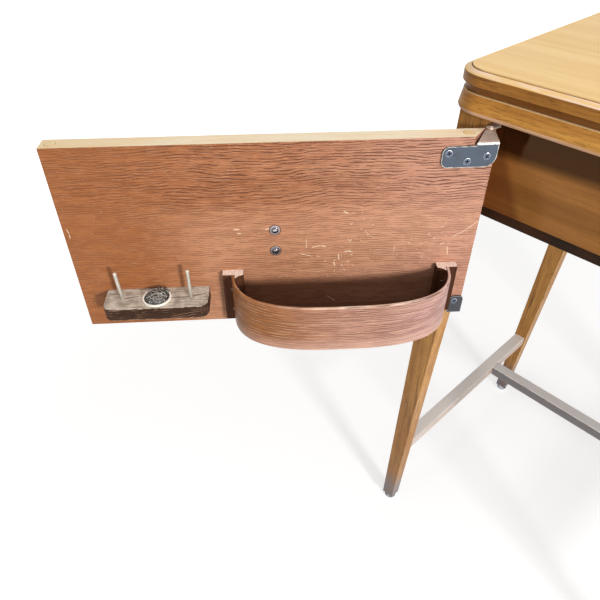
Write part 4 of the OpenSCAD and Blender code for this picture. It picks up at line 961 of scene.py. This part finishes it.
def wool():
    """A wad of wire wool: a dark lumpy core, many bent wires over it and loose ones at its back."""
    bm = bmesh.new()
    mark = bm.faces.layers.float.new("edge")
    base = local_frame(door_point(SPOOL_S, SPOOL_OUT, SPOOL_DOWN + 7.5 * MM), UP)
    chance = random.Random(11)
    lumps = [(chance.uniform(-10, 10) * MM, chance.uniform(-10, 10) * MM, chance.uniform(0.4, 1.6) * MM)
             for _ in range(26)]

    def crown(x, y):
        """Height of the wad over its flat bottom."""
        share = min(1.0, math.hypot(x, y) / WOOL_R)
        rise = 7.4 * MM + 4.4 * MM * math.sqrt(max(0.0, 1 - share ** 2))
        for lump_x, lump_y, size in lumps:
            rise += 0.5 * size * math.exp(-((x - lump_x) ** 2 + (y - lump_y) ** 2) / (2.2 * MM) ** 2)
        return min(rise, 13 * MM)

    def bent_wire(points, thin, thick, tones):
        """A wire through points, with chance thickness and a chance share of painted glint."""
        for face in tube(bm, points, chance.uniform(thin, thick) * MM):
            face[mark] = chance.choice(tones)

    steps = 44
    rings = [[bm.verts.new(base @ Vector((0, 0, crown(0, 0))))]]
    for radius in (2 * MM, 4 * MM, 6 * MM, 8 * MM, 9.5 * MM, 11 * MM, 12 * MM, 12.8 * MM, WOOL_R):
        rings.append([bm.verts.new(base @ Vector((x, y, crown(x, y))))
                      for x, y in round_points(radius, steps)])
    rings.append([bm.verts.new(base @ Vector((x, y, 0.2 * MM))) for x, y in round_points(WOOL_R, steps)])
    skin(bm, rings, steps)
    bm.faces.new(rings[-1])

    step = 1.3 * MM
    for _ in range(120):
        angle, far = chance.uniform(0, math.tau), 11 * MM * math.sqrt(chance.random())
        x, y = far * math.cos(angle), far * math.sin(angle)
        heading, bend = chance.uniform(0, math.tau), chance.uniform(-0.35, 0.35)
        lift = chance.uniform(0.0, 0.7) * MM
        points = []
        for k in range(9):
            if math.hypot(x, y) > WOOL_R - 0.5 * MM:
                break
            points.append(base @ Vector((x, y, crown(x, y) + lift * math.sin(math.pi * k / 8))))
            x += step * math.cos(heading)
            y += step * math.sin(heading)
            heading += bend + chance.uniform(-0.3, 0.3)
        if len(points) > 3:
            bent_wire(points, 0.1, 0.22, (0.0, 0.35, 1.0))

    step = 1.2 * MM
    for _ in range(40):
        angle = math.radians(chance.uniform(60, 175))
        x, y = 9.5 * MM * math.cos(angle), 9.5 * MM * math.sin(angle)
        heading, bend = angle + chance.uniform(-0.9, 0.9), chance.uniform(-0.4, 0.4)
        height, climb = crown(x, y), chance.uniform(0.1, 0.7) * MM
        points = []
        for _ in range(8):
            points.append(base @ Vector((x, y, height)))
            x += step * math.cos(heading)
            y = min(y + step * math.sin(heading), 16.5 * MM)
            height = max(3.4 * MM, height + climb)
            climb -= 0.24 * MM
            heading += bend
        bent_wire(points, 0.14, 0.24, (0.0, 0.0, 0.3))
    new_piece("pin_wool_wires", bm, wire, "pin_wool")


def tray_line():
    """Evenly spaced points of the band's outer line, as (along the door, out), with the way travelled."""
    a = np.linspace(0, math.pi, 6001)
    x = TRAY_W / 2 * np.sign(np.cos(a)) * np.abs(np.cos(a)) ** (2 / TRAY_POWER)
    y = TRAY_D * np.abs(np.sin(a)) ** (2 / TRAY_POWER)
    x, y = x[y >= BAND_START], y[y >= BAND_START]
    gone = np.concatenate(([0], np.cumsum(np.hypot(np.diff(x), np.diff(y)))))
    ways = np.linspace(0, gone[-1], 180)
    return zip(np.interp(ways, gone, x), np.interp(ways, gone, y), ways)


def band():
    """Bent band of the tray, with rounded rims and grain that runs round it."""
    r = 1.1 * MM
    section = []
    near, far, high = r, TRAY_T - r, TRAY_H - r
    for cx, cy, begin in ((near, r, 180), (far, r, 270), (far, high, 0), (near, high, 90)):
        for k in range(5):
            a = math.radians(begin + 22.5 * k)
            section.append((cx + r * math.cos(a), cy + r * math.sin(a)))
    bm = bmesh.new()
    grain = bm.loops.layers.float_vector.new("grain")
    mark = bm.faces.layers.float.new("edge")
    rings, ways = [], []
    for x, y, way in tray_line():
        slope = Vector((math.copysign((abs(x) / (TRAY_W / 2)) ** (TRAY_POWER - 1), x) / (TRAY_W / 2),
                        (y / TRAY_D) ** (TRAY_POWER - 1) / TRAY_D)).normalized()
        rings.append([bm.verts.new(door_point(TRAY_S + x - n * slope.x, y - n * slope.y, TRAY_DOWN + h))
                      for n, h in section])
        ways.append(way)
    count = len(section)
    for i in range(len(rings) - 1):
        for k in range(count):
            m = (k + 1) % count
            at = ((i, k), (i, m), (i + 1, m), (i + 1, k))
            face = bm.faces.new([rings[row][column] for row, column in at])
            for loop, (row, column) in zip(face.loops, at):
                loop[grain] = (ways[row], *section[column])
            middle = (section[k][1] + section[m][1]) / 2
            face[mark] = 1.0 if middle < r * 0.9 else 0.5 if middle > TRAY_H - r * 0.9 else 0.0
    for ring, way in ((rings[0], 0), (rings[-1], ways[-1])):
        for loop in bm.faces.new(ring).loops:
            loop[grain] = (way, *section[ring.index(loop.vert)])
    new_piece("tray_band_bent", bm, tray_wood, "tray_band")


# The two leaves of the top
soften("upper_leaf_panel", 0.35, field_wood)
soften("lower_leaf_panel", 0.5, leaf_board)
trace_ring(soften("upper_leaf_rim", 0.7, rim_wood, 3))
trace_ring(soften("lower_leaf_lipping", 0.7, lipping_wood, 3))

# Frame
for leg in ("leg_front_left", "leg_front_right", "leg_back_left", "leg_back_right"):
    soften(leg, 1.2, leg_wood, 3)
soften("front_apron", 0.4, apron_wood)
soften("back_apron", 0.4, apron_wood)
soften("side_apron_left", 0.4, side_apron_wood)
soften("side_apron_right", 0.4, side_apron_wood)
soften("front_rail", 0.6, dark_wood)
soften("corner_blocks", 0.5, plain_wood)
soften("bed_rest_blocks", 0.8, plain_wood)
soften("side_stretcher_left", 1.3, stretcher_wood, 3)
soften("side_stretcher_right", 1.3, stretcher_wood, 3)
soften("centre_stretcher", 1.3, shaded_centre_wood, 3)
dress(chrome, "foot_glides")

# Door and what it carries
soften("door_panel", 0.5, door_wood)
dress(plug_wood, "door_plugs")
soften("door_pull", 1.5, pull_wood, 3)
soften("spool_block", 0.8, spool_wood)
spool_pins()
cup()
wool()
band()
dress(tray_bottom_shaded_wood, "tray_bottom")
dress(nail_steel, "tray_nails")
for block in ("tray_block_outer", "tray_block_inner"):
    soften(block, 0.6, tray_block_wood)

# Hinges, hangers, catch, screws and bolts
soften("door_hinge_top", 0.3, top_hinge_steel, border=0.6)
soften("door_hinge_bottom", 0.3, hinge_steel, border=0.5)
dress(bright_steel, "door_hanger_top", "door_hinge_pins", "head_hinge_pins", "door_catch", "catch_strike")
dress(hinge_steel, "door_hanger_bottom")
dress(brass, "door_hinge_washers", "leaf_hinges_lower", "leaf_hinges_upper", "leaf_hinge_pins")
dress(iron, "head_hinge_plates", "head_arm_left", "head_arm_right")
for name, net, seed in (("hanger_screws", screw_steel, 7), ("door_hinge_screws", screw_steel, 8),
                        ("head_hinge_screws", screw_steel, 9), ("leaf_hinge_screws_lower", brass, 17),
                        ("leaf_hinge_screws_upper", brass, 18)):
    screws(name, net, seed)
bolts_and_washers()


def background_light(net, seen, lit):
    """Strength for a background: seen where the camera or a reflection looks at it, lit as a light."""
    path = net.add("ShaderNodeLightPath")
    rays = ("Is Camera Ray", "Is Glossy Ray", "Is Transmission Ray")
    looked_at = largest(net.out(path, ray) for ray in rays)
    return net.out(net.add("ShaderNodeMapRange", Value=looked_at, To_Min=lit, To_Max=seen))


def stage():
    """Pale floor, brighter far from the cabinet, with white surroundings and soft lights."""
    bpy.ops.mesh.primitive_plane_add(size=14)
    floor = bpy.context.object
    floor.name = "floor"
    net = Net("floor", Base_Color=(203.42, 203.42, 203.42), Roughness=0.9, Specular_IOR_Level=0.0,
              Emission_Color=(255, 255, 255))
    far = net.vector("LENGTH", net.places()).span(0.9, 2.2, 0.6, 1.0)
    net.set(Emission_Strength=far * background_light(net, 1.0, 0.0))
    floor.data.materials.append(net.material)

    world = bpy.data.worlds.new("studio")
    bpy.context.scene.world = world
    world.use_nodes = True
    around = Nodes(world.node_tree)
    around.fill(around.tree.nodes["Background"],
                {"Color": (255, 255, 255), "Strength": background_light(around, 1.0, 0.26)})

    target = Vector((-0.2, -0.3, 0.62))
    for name, place, size, power, colour in (
            ("key", (2.0, -0.85, 1.1), 0.34, 45, (1.0, 0.97, 0.94)),
            ("sky", (0.3, -0.5, 2.6), 2.0, 24, (1.0, 0.98, 0.95)),
            ("fill", (-0.3, -2.4, 1.4), 1.8, 4, (0.95, 0.97, 1.0))):
        data = bpy.data.lights.new(name, "AREA")
        data.size = size
        data.energy = power
        data.color = colour
        lamp = bpy.data.objects.new(name, data)
        lamp.location = place
        lamp.rotation_euler = (target - Vector(place)).to_track_quat("-Z", "Y").to_euler()
        bpy.context.scene.collection.objects.link(lamp)


def camera():
    """The photograph's camera."""
    data = bpy.data.cameras.new("camera")
    data.sensor_width = SENSOR
    data.lens = SENSOR * FOCAL_SHARE
    data.clip_start = 0.02
    view = bpy.data.objects.new("camera", data)
    turns = ((CAMERA_LEFT, "Z"), (math.pi / 2 - CAMERA_DOWN, "X"), (-CAMERA_ROLL, "Z"))
    view.matrix_world = Matrix.Translation(CAMERA_AT)
    for angle, axis in turns:
        view.matrix_world = view.matrix_world @ Matrix.Rotation(angle, 4, axis)
    bpy.context.scene.collection.objects.link(view)
    bpy.context.scene.camera = view


stage()
camera()
bpy.context.scene.view_settings.view_transform = "Standard"
